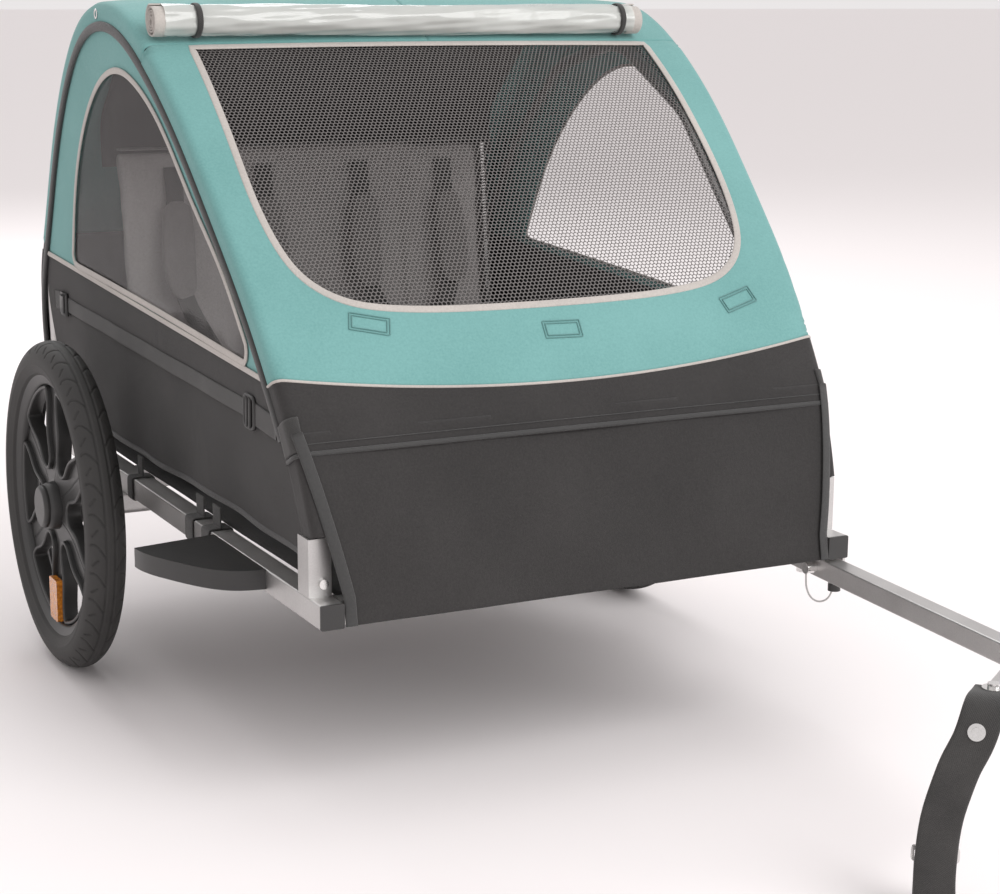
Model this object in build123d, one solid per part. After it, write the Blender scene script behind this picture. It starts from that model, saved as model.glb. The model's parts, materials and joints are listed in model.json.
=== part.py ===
"""Two-seat child bicycle trailer: square-tube floor frame, two folding hoops, fabric cabin, tow arm.

Millimetres. +Z is up, the trailer's front faces -Y and its left side is +X. The origin lies on the ground
plane, midway between the wheels, straight under the axle line.
"""
from build123d import *
import math
import os

os.makedirs("parts", exist_ok=True)

# ---------------------------------------------------------------- driving dimensions
wheel_od = 400.0            # 16 inch wheel with a 47-305 tyre
tyre_width = 47.0
tyre_height = 34.0          # tread to the place where the sidewall meets the rim flange
rim_width = 30.0
rim_depth = 18.0
hub_r = 26.0
hub_length = 44.0
spoke_count = 6
spoke_width = 34.0
spoke_thickness = 16.0
spoke_web = 5.0
bearing_od = 28.0
bearing_width = 8.0
axle_d = 12.0
running_gap = 0.05          # radial clearance of a running fit
fit_gap = 0.3               # clearance between soft or loosely assembled pieces

rail_size = 25.4            # 1 inch square tube
tube_wall = 1.5
rail_outer_x = 314.0        # outer face of each side rail
rail_bottom_z = 207.0
rail_front_y = -633.0
rail_rear_y = 331.0
cap_lip = 2.5               # how far a plastic end cap stands out of its tube
wheel_offset = 77.0         # rail's outer face to the wheel's middle plane

hoop_d = 16.0
hoop_lean = 0.062           # outward lean of the hoops, run over rise
right_pivot_z = 246.0       # the two pivots are stacked so that both sides can lie folded
left_pivot_z = 277.0
hoop_foot = 7.0             # tube below its pivot hole
front_pivot_y = -591.0
rear_pivot_y = 313.0
bracket_top_z = 292.0
bracket_wall = 2.0
bracket_half = 14.0         # half the bracket's width along Y
pivot_bolt_d = 6.0

skin = 1.5                  # cabin fabric
pane = 1.0                  # clear vinyl and mesh
crossbar_d = 16.0
crossbar_gap = 1.3          # the hoops rise this much past upright while they fold
crossbar_travel = 14.0

belt_front_z = 433.0        # seam between the side window panel and the side skirt
belt_rear_z = 476.0
skirt_bottom_z = 262.0
hem_z = 370.0               # lower edge of the front cover
cover_hinge_y = -212.0
roll_d = 37.0
roll_length = 613.0
roll_y = -190.0
roll_shift = -24.0          # the rolled cover lies a little to the right
roll_rise = 0.5             # gap between the roll and the cloth under it
tie_x = (-279.0, 255.0)
window_side_gap = 31.0      # front window's side edge to the rail's outer face
window_low_z = 497.0
window_corner_r = 66.0
window_hinge_gap = 8.0

seat_front_y = -160.0
seat_rear_y = 119.7
seat_height = 42.0
seat_side_gap = 52.0        # seat's side edge to the rail's outer face
seat_slope_deg = 6.0
seat_back_height = 335.0
seat_back_thickness = 14.0
child_x = 130.0             # middle line of each child's place
shoulder_x = 62.0           # shoulder straps either side of it
shoulder_width = 24.0
shoulder_pad_width = 42.0
floor_front_y = -606.0
floor_rear_y = 303.0
floor_thickness = 2.0
rear_seam_z = 430.0         # the roof's fabric meets the black rear panel
lower_hem_z = 208.5

arm_size = 22.2             # 7/8 inch square tube
arm_wall = 1.6
arm_top_z = 204.9
arm_toe_deg = 3.5           # the arm runs slightly inward towards the front
arm_turn_deg = 50.0         # the front tube turns this much further inward
arm_pivot_y = -568.0
arm_pin_y = -612.0
arm_rear_y = -546.0
arm_elbow_y = -978.0
arm_front_length = 149.0
strap_bolt_back = 11.0      # the strap bolt sits this far back from the arm's end
arm_pivot_bolt_d = 8.0
lock_pin_d = 6.0
strap_width = 38.0
strap_thickness = 3.0

# ---------------------------------------------------------------- derived values
wheel_r = wheel_od / 2
axle_z = wheel_r
rim_seat_r = wheel_r - tyre_height
wheel_plane_x = rail_outer_x + wheel_offset
rail_x = rail_outer_x - rail_size / 2
rail_inner_x = rail_outer_x - rail_size
rail_top_z = rail_bottom_z + rail_size
hoop_r = hoop_d / 2
cross_tube_y = (rail_front_y + 8 + rail_size / 2, 20.0, rail_rear_y - rail_size / 2)
pivot_x = rail_x - 2.3      # the hoop's middle line at the lower pivot, inside its bracket
floor_z = rail_top_z + fit_gap
seat_half = rail_outer_x - seat_side_gap
beyond = rail_outer_x + 86  # further out than any fabric, for cutting shapes

# outer fabric line in the side view, from the front hem over the top to the rear hem: (y, z)
outline = [
    (-635, 207), (-622, 270), (-606, 322), (-585, 372), (-548, 432), (-486, 513), (-405, 597),
    (-312, 684), (-212, 755), (-135, 790), (-50, 800), (35, 779), (125, 716), (205, 626),
    (282, 514), (340, 415), (352, 345), (347, 270), (336, 207),
]
# middle line of a hoop in the side view between its two feet
hoop_route = [
    (-590, 300), (-581.5, 352), (-505, 442), (-400, 535), (-255, 672), (-85, 752), (65, 716), (180, 605), (300, 420),
    (313, 335),
]
rail_strap_places = [(-250, 26), (-305, 26), (-32, 20)]   # (y, width)
hoop_radii = [100, 60, 120, 120, 150, 110, 90, 110, 60, 40]


def export(shape, name):
    export_step(Compound(children=list(shape)) if isinstance(shape, (list, tuple)) else shape,
                f"parts/{name}.step")


def side_x(z, outset=0.0):
    """Distance from the centre plane to a hoop's middle line at height z, plus an outset."""
    return pivot_x + hoop_lean * (z - right_pivot_z) + outset


def block(x0, x1, y0, y1, z0, z1):
    return Pos((x0 + x1) / 2, (y0 + y1) / 2, (z0 + z1) / 2) * Box(x1 - x0, y1 - y0, z1 - z0)


def rod(start, end, radius):
    start, end = Vector(*start), Vector(*end)
    return Solid.make_cylinder(radius, (end - start).length, Plane(origin=start, z_dir=(end - start)))


def mirrored(shape, side):
    """A shape drawn for the left side (+X), or its mirror image for the right side."""
    return shape if side > 0 else mirror(shape, about=Plane.YZ)


def fuse(shapes):
    result = shapes[0]
    for shape in shapes[1:]:
        result = result + shape
    return result


def inset(points, distance):
    """The outline moved inward by a distance, along the local normal of each point."""
    moved = []
    for i, (y, z) in enumerate(points):
        before, after = points[max(i - 1, 0)], points[min(i + 1, len(points) - 1)]
        ty, tz = after[0] - before[0], after[1] - before[1]
        length = math.hypot(ty, tz)
        moved.append((y + tz / length * distance, z - ty / length * distance))
    return moved


def profile_solid(distance):
    """The closed cabin outline, inset, carried along X."""
    line = inset(outline, distance)
    curve = Spline(*[(0, y, z) for y, z in line])
    base = Line((0, *line[-1]), (0, *line[0]))
    face = Face(Wire([curve, base]))
    return Pos(-beyond, 0, 0) * extrude(face, beyond * 2, dir=(1, 0, 0))


def wedge(outset):
    """The space between the two leaning side planes."""
    low, high = 150.0, 900.0
    corners = [(-side_x(low, outset), 0, low), (side_x(low, outset), 0, low),
               (side_x(high, outset), 0, high), (-side_x(high, outset), 0, high)]
    face = Face(Wire.make_polygon([Vector(*c) for c in corners], close=True))
    return Pos(0, 900, 0) * extrude(face, 1800, dir=(0, -1, 0))


def band(centres, across, width, thickness):
    """A flat strap: a rectangle carried through the points, its width always along one direction."""
    across = Vector(*across).normalized() * (width / 2)
    rings = []
    for i, centre in enumerate(centres):
        ahead = Vector(*centres[min(i + 1, len(centres) - 1)]) - Vector(*centres[max(i - 1, 0)])
        out = ahead.cross(across).normalized() * (thickness / 2)
        middle = Vector(*centre)
        rings.append([middle + across + out, middle - across + out, middle - across - out,
                      middle + across - out])
    faces = []
    for a, b in zip(rings, rings[1:]):
        for k in range(4):
            m = (k + 1) % 4
            faces.append(Face(Wire.make_polygon([a[k], a[m], b[m]], close=True)))
            faces.append(Face(Wire.make_polygon([a[k], b[m], b[k]], close=True)))
    for ring in (rings[0], rings[-1]):
        faces.append(Face(Wire.make_polygon(ring, close=True)))
    return Solid(Shell(faces))


def square_tube(length, size, wall):
    """A hollow square tube along +Y from the origin."""
    outer = block(-size / 2, size / 2, 0, length, -size / 2, size / 2)
    inner = block(-size / 2 + wall, size / 2 - wall, -1, length + 1, -size / 2 + wall, size / 2 - wall)
    corner_edges = outer.edges().filter_by(Axis.Y)
    return fillet(corner_edges, 2.0) - inner


# ---------------------------------------------------------------- floor frame
def side_rail(side):
    rail = Pos(rail_x, rail_front_y, rail_bottom_z + rail_size / 2) * square_tube(
        rail_rear_y - rail_front_y, rail_size, tube_wall)
    pivot_hole = rod((rail_x, arm_pivot_y, rail_bottom_z - 1), (rail_x, arm_pivot_y, rail_top_z + 1),
                     arm_pivot_bolt_d / 2 + running_gap)
    return mirrored(rail - pivot_hole if side > 0 else rail, side)


def cross_tube(y):
    """A square tube along X between the inner faces of the rails."""
    tube = Rot(0, 0, -90) * square_tube(2 * rail_inner_x, rail_size, tube_wall)
    return Pos(-rail_inner_x, y, rail_bottom_z + rail_size / 2) * tube


def end_cap(side, y, outward):
    plate = block(rail_inner_x, rail_outer_x, min(y, y + outward * cap_lip), max(y, y + outward * cap_lip),
                  rail_bottom_z, rail_top_z)
    plate = fillet(plate.edges().filter_by(Axis.Y), 2.0)
    plug_half = rail_size / 2 - tube_wall
    plug = block(rail_x - plug_half, rail_x + plug_half, min(y, y - outward * 12), max(y, y - outward * 12),
                 rail_bottom_z + tube_wall, rail_top_z - tube_wall)
    return mirrored(plate + plug, side)


def hoop_bracket(side, y, pivot_z):
    """A channel post welded on the rail, open towards the cabin, that holds a hoop's foot."""
    x0, x1 = rail_inner_x + 1, rail_outer_x
    post = block(x0, x1, y - bracket_half, y + bracket_half, rail_top_z, bracket_top_z)
    post -= block(x0 - 1, x1 - bracket_wall, y - bracket_half + bracket_wall, y + bracket_half - bracket_wall,
                  rail_top_z - 1, bracket_top_z + 1)
    hole = rod((side_x(pivot_z), y - 20, pivot_z), (side_x(pivot_z), y + 20, pivot_z),
               pivot_bolt_d / 2 + running_gap)
    return mirrored(post - hole, side)


def pivot_bolt(side, y, pivot_z):
    x = side_x(pivot_z)
    front = y - bracket_half
    back = y + bracket_half
    shank = rod((x, front, pivot_z), (x, back + 5, pivot_z), pivot_bolt_d / 2)
    head = rod((x, front - 4, pivot_z), (x, front, pivot_z), 5.0)
    nut = Plane(origin=(x, back, pivot_z), z_dir=(0, 1, 0)) * extrude(RegularPolygon(5.0, 6), 4.5)
    return mirrored(fuse([shank, head, nut]), side)


def axle_receiver(side):
    """A block under the rail with the bore that the wheel's axle slides into."""
    body = block(rail_inner_x - 5, rail_outer_x + 18, -16, 16, axle_z - 17, rail_bottom_z)
    body = fillet(body.edges().filter_by(Axis.X).group_by(Axis.Z)[0], 6.0)
    bore = rod((rail_inner_x - 20, 0, axle_z), (rail_outer_x + 40, 0, axle_z), axle_d / 2 + running_gap)
    return mirrored(body - bore, side)


def axle(side):
    end_x = wheel_plane_x + hub_length / 2 - 3
    shaft = rod((rail_inner_x - 8, 0, axle_z), (end_x, 0, axle_z), axle_d / 2)
    collar = rod((rail_outer_x + 30, 0, axle_z), (wheel_plane_x - hub_length / 2 - 0.5, 0, axle_z), 9.0)
    button = rod((rail_inner_x - 14, 0, axle_z), (rail_inner_x - 8, 0, axle_z), 4.0)
    return mirrored(fuse([shaft, collar, button]), side)


def wheel_guard(side):
    """A half-moon deflector on the rail's outer face, ahead of the wheel: a top plate with a deep rim."""
    reach, back_y, front_y = 96.0, -330.0, -488.0
    top, depth, wall = rail_top_z, 21.0, 3.0

    def d_shape(shrink):
        x0, x1 = rail_outer_x, rail_outer_x + reach - shrink
        y0, y1 = back_y - 17 - shrink, front_y + shrink
        edge = [Line((x0, back_y - shrink, 0), (x1, y0, 0)),
                Spline((x1, y0, 0), (x1 - 18, y0 - 66, 0), (x0 + 42, y1 + 16, 0), (x0, y1, 0),
                       tangents=[(0, -1, 0), (-1, -0.1, 0)]),
                Line((x0, y1, 0), (x0, back_y - shrink, 0))]
        return Face(Wire(edge))

    body = Pos(0, 0, top - depth) * extrude(d_shape(0), depth, dir=(0, 0, 1))
    cavity = Pos(0, 0, top - depth - 1) * extrude(d_shape(wall), depth + 1 - wall, dir=(0, 0, 1))
    return mirrored(body - cavity, side)


def rail_strap(side, y, width):
    """A webbing loop round the rail that ties the side skirt down."""
    t = 1.5
    x0, x1 = rail_inner_x - fit_gap, rail_outer_x + fit_gap
    z0, z1 = rail_bottom_z - fit_gap, rail_top_z + fit_gap
    loop = block(x0 - t, x1 + t, y - width / 2, y + width / 2, z0 - t, z1 + t)
    loop -= block(x0, x1, y - width, y + width, z0, z1)
    tail = block(x0 - t, x0, y - width / 2, y + width / 2, z1, skirt_bottom_z - 4)
    return mirrored(loop + tail, side)


# ---------------------------------------------------------------- wheels
def tyre(side):
    section_r = tyre_width / 2
    centre_r = wheel_r - section_r
    outer = Plane.XZ * Pos(0, centre_r) * Circle(section_r)
    inner = Plane.XZ * Pos(0, centre_r) * Circle(section_r - 4.5)
    seat = Plane.XZ * Pos(0, rim_seat_r / 2) * Rectangle(rim_width, rim_seat_r)
    body = revolve(outer - inner - seat, Axis.X, 360)
    return Pos(side * wheel_plane_x, 0, axle_z) * body


def wheel_moulding(side):
    """One-piece wheel: rim channel, six panelled spokes and the hub."""
    half = rim_width / 2
    channel = Plane.XZ * Polyline((-half, rim_seat_r), (-half, rim_seat_r - 11), (-half + 5, rim_seat_r - rim_depth),
                                  (half - 5, rim_seat_r - rim_depth), (half, rim_seat_r - 11),
                                  (half, rim_seat_r), (half - 3, rim_seat_r), (half - 6, rim_seat_r - 8),
                                  (-half + 6, rim_seat_r - 8), (-half + 3, rim_seat_r), close=True)
    parts = [revolve(make_face(channel), Axis.X, 360)]
    parts.append(rod((-hub_length / 2, 0, 0), (hub_length / 2, 0, 0), hub_r))
    inner_r, outer_r = hub_r - 6, rim_seat_r - rim_depth + 1.5
    for k in range(spoke_count):
        spoke = block(-spoke_thickness / 2, spoke_thickness / 2, -spoke_width / 2, spoke_width / 2,
                      inner_r, outer_r)
        for face_side in (-1, 1):
            x0 = spoke_web / 2 * face_side
            x1 = spoke_thickness * face_side
            spoke -= block(min(x0, x1), max(x0, x1), -spoke_width / 2 + 6, spoke_width / 2 - 6,
                           hub_r + 16, outer_r - 12)
        parts.append(Rot(k * 360 / spoke_count, 0, 0) * spoke)
    wheel = fuse(parts)
    wheel -= rod((-60, 0, 0), (60, 0, 0), 9.0)
    for end in (-1, 1):
        seat_in = end * (hub_length / 2 - bearing_width)
        wheel -= rod((seat_in, 0, 0), (end * (hub_length / 2 + 5), 0, 0), bearing_od / 2)
    return Pos(side * wheel_plane_x, 0, axle_z) * wheel


def bearings(side):
    rings = []
    for end in (-1, 1):
        a = end * (hub_length / 2 - bearing_width)
        b = end * hub_length / 2
        ring = rod((a, 0, 0), (b, 0, 0), bearing_od / 2) - rod((a - end, 0, 0), (b + end, 0, 0),
                                                              axle_d / 2 + running_gap)
        rings.append(Pos(side * wheel_plane_x, 0, axle_z) * ring)
    return rings


def hub_cap(side):
    cap = rod((hub_length / 2, 0, 0), (hub_length / 2 + 7, 0, 0), hub_r)
    cap = fillet(cap.edges().group_by(Axis.X)[-1], 5.0)
    return mirrored(Pos(wheel_plane_x, 0, axle_z) * cap, side)


def reflector(side):
    """An amber reflector clipped on the outer face of the lowest spoke but one."""
    plate = block(spoke_thickness / 2, spoke_thickness / 2 + 8, -16, 16, -rim_seat_r + rim_depth + 4,
                  -rim_seat_r + rim_depth + 56)
    plate = fillet(plate.edges().filter_by(Axis.X), 3.0)
    return mirrored(Pos(wheel_plane_x, 0, axle_z) * plate, side)


# ---------------------------------------------------------------- folding sides
def hoop(side, pivot_z):
    route = [(front_pivot_y, pivot_z - hoop_foot), *hoop_route, (rear_pivot_y, pivot_z - hoop_foot)]
    points = [(side_x(z), y, z) for y, z in route]
    line = FilletPolyline(*points, radius=hoop_radii)
    start = Plane(origin=points[0], z_dir=Vector(*points[1]) - Vector(*points[0]))
    tube = sweep(start * Circle(hoop_r), path=line)
    hollow = sweep(start * Circle(hoop_r - tube_wall), path=line)
    tube = tube - hollow
    for y in (front_pivot_y, rear_pivot_y):
        tube -= rod((side_x(pivot_z), y - 20, pivot_z), (side_x(pivot_z), y + 20, pivot_z),
                    pivot_bolt_d / 2 + running_gap)
    return mirrored(tube, side)


def belt_z(y):
    share = (y + 560.0) / 920.0
    return belt_front_z + share * (belt_rear_z - belt_front_z)


def prism_yz(points, spline=False):
    """A closed outline in the side view, carried along X over the whole left half."""
    if spline:
        edges = [Spline(*[(0, y, z) for y, z in points]), Line((0, *points[-1]), (0, *points[0]))]
        face = Face(Wire(edges))
    else:
        face = Face(Wire.make_polygon([Vector(0, y, z) for y, z in points], close=True))
    return extrude(face, 500, dir=(1, 0, 0))


window_outline = [(152, 482), (104, 583), (27, 670), (-50, 714), (-112, 724), (-170, 712), (-240, 676),
                  (-330, 598), (-410, 530), (-470, 462)]


def side_sheet(outset, thickness):
    """A thin layer parallel to the hoop's plane, trimmed to fit inside the roof and front fabric."""
    layer = wedge(outset + thickness) - wedge(outset)
    half = block(0, beyond, -900, 900, 100, 1000)
    return layer & half & profile_solid(skin + fit_gap)


side_outset = hoop_r + 0.5


def notches():
    """Room for the hoop brackets at the two lower corners of a side."""
    front = block(0, beyond, -900, front_pivot_y + bracket_half + 1, 100, bracket_top_z + 2)
    rear = block(0, beyond, rear_pivot_y - bracket_half - 1, 900, 100, bracket_top_z + 2)
    return front + rear


def canopy_side(side):
    sheet = side_sheet(side_outset, skin)
    above = prism_yz([(-900, belt_z(-900)), (900, belt_z(900)), (900, 1000), (-900, 1000)])
    return mirrored((sheet & above) - prism_yz(window_outline, spline=True), side)


def side_window(side):
    sheet = side_sheet(side_outset, pane)
    opening = [(y + (-fit_gap if y > -100 else fit_gap), z - fit_gap if z > 500 else z + fit_gap)
               for y, z in window_outline]
    return mirrored(sheet & prism_yz(opening, spline=True), side)


def side_skirt(side):
    sheet = side_sheet(side_outset, skin)
    below = prism_yz([(-900, skirt_bottom_z), (900, skirt_bottom_z),
                      (900, belt_z(900) - fit_gap), (-900, belt_z(-900) - fit_gap)])
    return mirrored((sheet & below) - notches(), side)


def side_strap(side):
    """The webbing that runs along the skirt between its two buckles."""
    layer = side_sheet(side_outset + skin + fit_gap, 1.5)
    lane = prism_yz([(-440, 385), (200, 401), (200, 421), (-440, 405)])
    return mirrored(layer & lane, side)


def strap_buckles(side):
    layer = side_sheet(side_outset + skin + fit_gap, 4.0)
    cam = prism_yz([(201, 394), (236, 395), (236, 428), (201, 427)])
    ladder = prism_yz([(-478, 376), (-441, 377), (-441, 414), (-478, 413)])
    return [mirrored(layer & cam, side), mirrored(layer & ladder, side)]


# ---------------------------------------------------------------- cabin fabric on the frame
def wrap():
    """The fabric that runs from the front hem over the top to the rear, between the side planes."""
    return (profile_solid(0) - profile_solid(skin)) & wedge(side_outset + skin)


def prism_full(points):
    """A shape drawn in the side view, carried across the whole width."""
    face = Face(Wire.make_polygon([Vector(-beyond, y, z) for y, z in points], close=True))
    return extrude(face, 2 * beyond, dir=(1, 0, 0))


def front_lower_panel():
    """The black panel below the cover: between the rails low down, widening to the hoops above them."""
    sheet = wrap() & block(-beyond, beyond, -900, -400, lower_hem_z, hem_z + 25 - fit_gap)
    inner, outer = rail_inner_x - 2, rail_outer_x - 2
    clear_z = rail_top_z + 4
    half = [(inner, 200), (inner, clear_z), (outer, hem_z + 1), (outer + 2, hem_z + 50)]
    trim = half + [(-x, z) for x, z in reversed(half)]
    face = Face(Wire.make_polygon([Vector(x, 0, z) for x, z in trim], close=True))
    return sheet & extrude(face, 900, dir=(0, -1, 0))


def cover_region():
    """Everything in front of the cover's hinge line and above its hem."""
    back = cover_hinge_y - fit_gap
    return prism_full([(-900, hem_z), (back, hem_z), (back, 900), (-900, 900)])


def screen_opening(grow):
    """The front window's outline in the front view, carried along Y."""
    half, low = rail_outer_x - window_side_gap + grow, window_low_z - grow
    shape = block(-half, half, -700, 300, low, 900)
    lower = shape.edges().filter_by(Axis.Y).group_by(Axis.Z)[0]
    back = cover_hinge_y - window_hinge_gap + grow
    return fillet(lower, window_corner_r) & prism_full([(-900, 100), (back, 100), (back, 900), (-900, 900)])


def front_cover():
    lift = profile_solid(-skin - fit_gap) - profile_solid(-fit_gap)
    upper = wrap() & block(-beyond, beyond, -900, 900, hem_z + 25, 900)
    lower = (lift & wedge(side_outset + skin)) & block(-beyond, beyond, -900, -400, hem_z, hem_z + 32)
    step = (profile_solid(-skin - fit_gap) - profile_solid(skin)) & wedge(side_outset + skin)
    step = step & block(-beyond, beyond, -900, -400, hem_z + 25, hem_z + 32)
    return (fuse([upper, lower, step]) & cover_region()) - screen_opening(0)


def mesh_screen():
    sheet = (profile_solid(0.3) - profile_solid(0.3 + pane)) & wedge(side_outset + skin)
    return sheet & cover_region() & screen_opening(-fit_gap)


def canopy_roof():
    """The roof, from the cover's hinge line back and down to the black rear panel."""
    low = rear_seam_z + fit_gap
    side_view = [(cover_hinge_y, low), (900, low), (900, 900), (cover_hinge_y, 900)]
    return wrap() & prism_full(side_view)


def rear_panel():
    sheet = wrap() & block(-beyond, beyond, 200, 900, lower_hem_z, rear_seam_z)
    corner = block(rail_inner_x - 1, beyond, 200, 900, 100, rail_top_z + 2)
    return sheet - corner - mirror(corner, about=Plane.YZ)


def floor_panel():
    half = rail_inner_x - 2
    return block(-half, half, floor_front_y, floor_rear_y, floor_z, floor_z + floor_thickness)


def seat_base():
    low = floor_z + floor_thickness + fit_gap
    cushion = block(-seat_half, seat_half, seat_front_y, seat_rear_y, low, low + seat_height)
    return fillet(cushion.edges().filter_by(Axis.X), 12.0)


seat_slope = math.radians(seat_slope_deg)
seat_back_foot = 38.0       # the seat back reaches this far below the cushion's top


def seat_plane(u, v):
    """A point on the seat back's front face: u along X, v up the slope from the cushion's top."""
    low = floor_z + floor_thickness + fit_gap + seat_height + 3
    return u, seat_rear_y + fit_gap + (v + seat_back_foot) * math.sin(seat_slope), low + v * math.cos(seat_slope)


def seat_slab(u0, u1, v0, v1, d0, d1):
    """A slab lying on the sloping seat back, d0 to d1 in front of its front face."""
    out = Vector(0, -math.cos(seat_slope), math.sin(seat_slope))
    frame = Plane(origin=Vector(*seat_plane((u0 + u1) / 2, (v0 + v1) / 2)) + out * d0, x_dir=(1, 0, 0), z_dir=out)
    return extrude(frame * Rectangle(u1 - u0, v1 - v0), d1 - d0)


def seat_back():
    return seat_slab(-seat_half, seat_half, -seat_back_foot, seat_back_height, -seat_back_thickness, 0)


def harness_set():
    """Two five-point harnesses: a pair of shoulder straps with pads for each child."""
    pieces = []
    for child in (-child_x, child_x):
        for strap in (-shoulder_x, shoulder_x):
            x, half, pad = child + strap, shoulder_width / 2, shoulder_pad_width / 2
            pieces.append(seat_slab(x - half, x + half, 20, seat_back_height - 30, fit_gap, 2.5))
            pieces.append(seat_slab(x - pad, x + pad, 150, 262, 2.5, 12))
    return pieces


def crossbar():
    z = 752 + hoop_r + crossbar_gap + crossbar_d / 2
    half = side_x(752) + hoop_r + fit_gap
    bar = rod((-half, -85, z), (half, -85, z), crossbar_d / 2)
    bar -= rod((-half + 12, -85, z), (half - 12, -85, z), crossbar_d / 2 - tube_wall)
    return bar


def outline_point(y):
    """Height and outward normal of the fabric line at y, on the front part of the roof."""
    for (y0, z0), (y1, z1) in zip(outline, outline[1:]):
        if y0 <= y <= y1:
            share = (y - y0) / (y1 - y0)
            length = math.hypot(y1 - y0, z1 - z0)
            return z0 + share * (z1 - z0), -(z1 - z0) / length, (y1 - y0) / length


def roll_centre():
    z, ny, nz = outline_point(roll_y)
    rise = roll_d / 2 + roll_rise
    return roll_y + ny * rise, z + nz * rise


def rain_cover_roll():
    y, z = roll_centre()
    half = roll_length / 2
    return rod((roll_shift - half, y, z), (roll_shift + half, y, z), roll_d / 2) - profile_solid(-fit_gap)


def roll_ties():
    y, z = roll_centre()
    ties = []
    for x in tie_x:
        ring = rod((x - 4, y, z), (x + 4, y, z), roll_d / 2 + 1.8)
        ring -= rod((x - 5, y, z), (x + 5, y, z), roll_d / 2 + fit_gap)
        ties.append(ring - profile_solid(-fit_gap))
    return ties


# ---------------------------------------------------------------- tow arm
arm_z = arm_top_z - arm_size / 2
arm_dir = Vector(-math.sin(math.radians(arm_toe_deg)), -math.cos(math.radians(arm_toe_deg)), 0)
front_deg = arm_toe_deg + arm_turn_deg
front_dir = Vector(-math.sin(math.radians(front_deg)), -math.cos(math.radians(front_deg)), 0)
front_across = Vector(math.cos(math.radians(front_deg)), -math.sin(math.radians(front_deg)), 0)


def arm_point(y):
    """The arm's middle line where it crosses y."""
    return Vector(rail_x, arm_pivot_y, arm_z) + arm_dir * ((y - arm_pivot_y) / arm_dir.Y)


elbow = arm_point(arm_elbow_y)
arm_end = elbow + front_dir * arm_front_length
bolt_point = arm_end - front_dir * strap_bolt_back


def tube_between(start, end, size, wall):
    direction = end - start
    turn = math.degrees(math.atan2(direction.Y, direction.X)) - 90
    return Pos(*start) * Rot(0, 0, turn) * square_tube(direction.length, size, wall)


def mitre(keep_front):
    """A half space at the elbow, in front of or behind its mitre plane."""
    normal = (arm_dir + front_dir).normalized()
    plane = Plane(origin=elbow, z_dir=normal if keep_front else -normal)
    return extrude(plane * Rectangle(1200, 1200), 900)


def arm_tube():
    start = arm_point(arm_rear_y)
    tube = tube_between(start, elbow + arm_dir * 30, arm_size, arm_wall) & mitre(False)
    x, y = rail_x, arm_pivot_y
    tube -= rod((x, y, arm_z - 30), (x, y, arm_z + 30), arm_pivot_bolt_d / 2 + running_gap)
    pin = arm_point(arm_pin_y)
    tube -= rod((pin.X - 30, pin.Y, arm_z), (pin.X + 30, pin.Y, arm_z), lock_pin_d / 2 + running_gap)
    return tube


def arm_front_tube():
    tube = tube_between(elbow - front_dir * 30, arm_end, arm_size, arm_wall) & mitre(True)
    tube -= rod(bolt_point - Vector(0, 0, 30), bolt_point + Vector(0, 0, 30), 3.05)
    return tube


def elbow_gussets():
    """Two plates inside the elbow that the rivets hold."""
    plates = []
    for level in (-1, 1):
        z = arm_z + level * (arm_size / 2 - arm_wall - 1.0)
        run_a = elbow - arm_dir * 40
        run_b = elbow + front_dir * 40
        width = 14.0
        pieces = []
        for start, end in ((run_a, elbow), (elbow, run_b)):
            direction = end - start
            turn = math.degrees(math.atan2(direction.Y, direction.X)) - 90
            plate = block(-width / 2, width / 2, -2, direction.length + 2, -1.0, 1.0)
            pieces.append(Pos(start.X, start.Y, z) * Rot(0, 0, turn) * plate)
        plates.append(fuse(pieces))
    return plates


def elbow_rivets():
    rivets = []
    for centre in (elbow - arm_dir * 24, elbow + front_dir * 24):
        for level in (-1, 1):
            z = arm_z + level * arm_size / 2
            rivets.append(rod((centre.X, centre.Y, z), (centre.X, centre.Y, z + level * 2), 4.5))
    return rivets


def arm_bracket():
    """A plate under the rail with an outer cheek that the arm rests against."""
    plate = block(rail_inner_x, rail_outer_x + 3.6, -626, arm_pivot_y + 35, arm_top_z + fit_gap, rail_bottom_z)
    cheek = block(rail_outer_x + 0.6, rail_outer_x + 3.6, -626, arm_pivot_y - 28, arm_z - 8, rail_bottom_z)
    slot = block(rail_outer_x - 1, rail_outer_x + 6, arm_pin_y - 8, arm_pin_y + lock_pin_d / 2 + 0.5,
                 arm_z - lock_pin_d / 2 - 0.5, arm_z + lock_pin_d / 2 + 0.5)
    hole = rod((rail_x, arm_pivot_y, 150), (rail_x, arm_pivot_y, 260), arm_pivot_bolt_d / 2 + running_gap)
    return plate + cheek - slot - hole


def arm_pivot_bolt():
    x, y = rail_x, arm_pivot_y
    bottom = arm_z - arm_size / 2 - fit_gap
    shank = rod((x, y, bottom - 7), (x, y, rail_top_z), arm_pivot_bolt_d / 2)
    head = rod((x, y, rail_top_z), (x, y, rail_top_z + 5), 7.0)
    nut = Plane(origin=(x, y, bottom - 6), z_dir=(0, 0, 1)) * extrude(RegularPolygon(7.0, 6), 6)
    return fuse([shank, head, nut])


def arm_lock_pin():
    pin = arm_point(arm_pin_y)
    face = pin.X - arm_size / 2
    shank = rod((face, pin.Y, arm_z), (rail_outer_x + 5, pin.Y, arm_z), lock_pin_d / 2)
    head = rod((face - 13.5, pin.Y, arm_z), (face - 0.5, pin.Y, arm_z), 6.5)
    neck = rod((face - 1, pin.Y, arm_z), (face + 1, pin.Y, arm_z), lock_pin_d / 2)
    return fuse([shank, head, neck])


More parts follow.
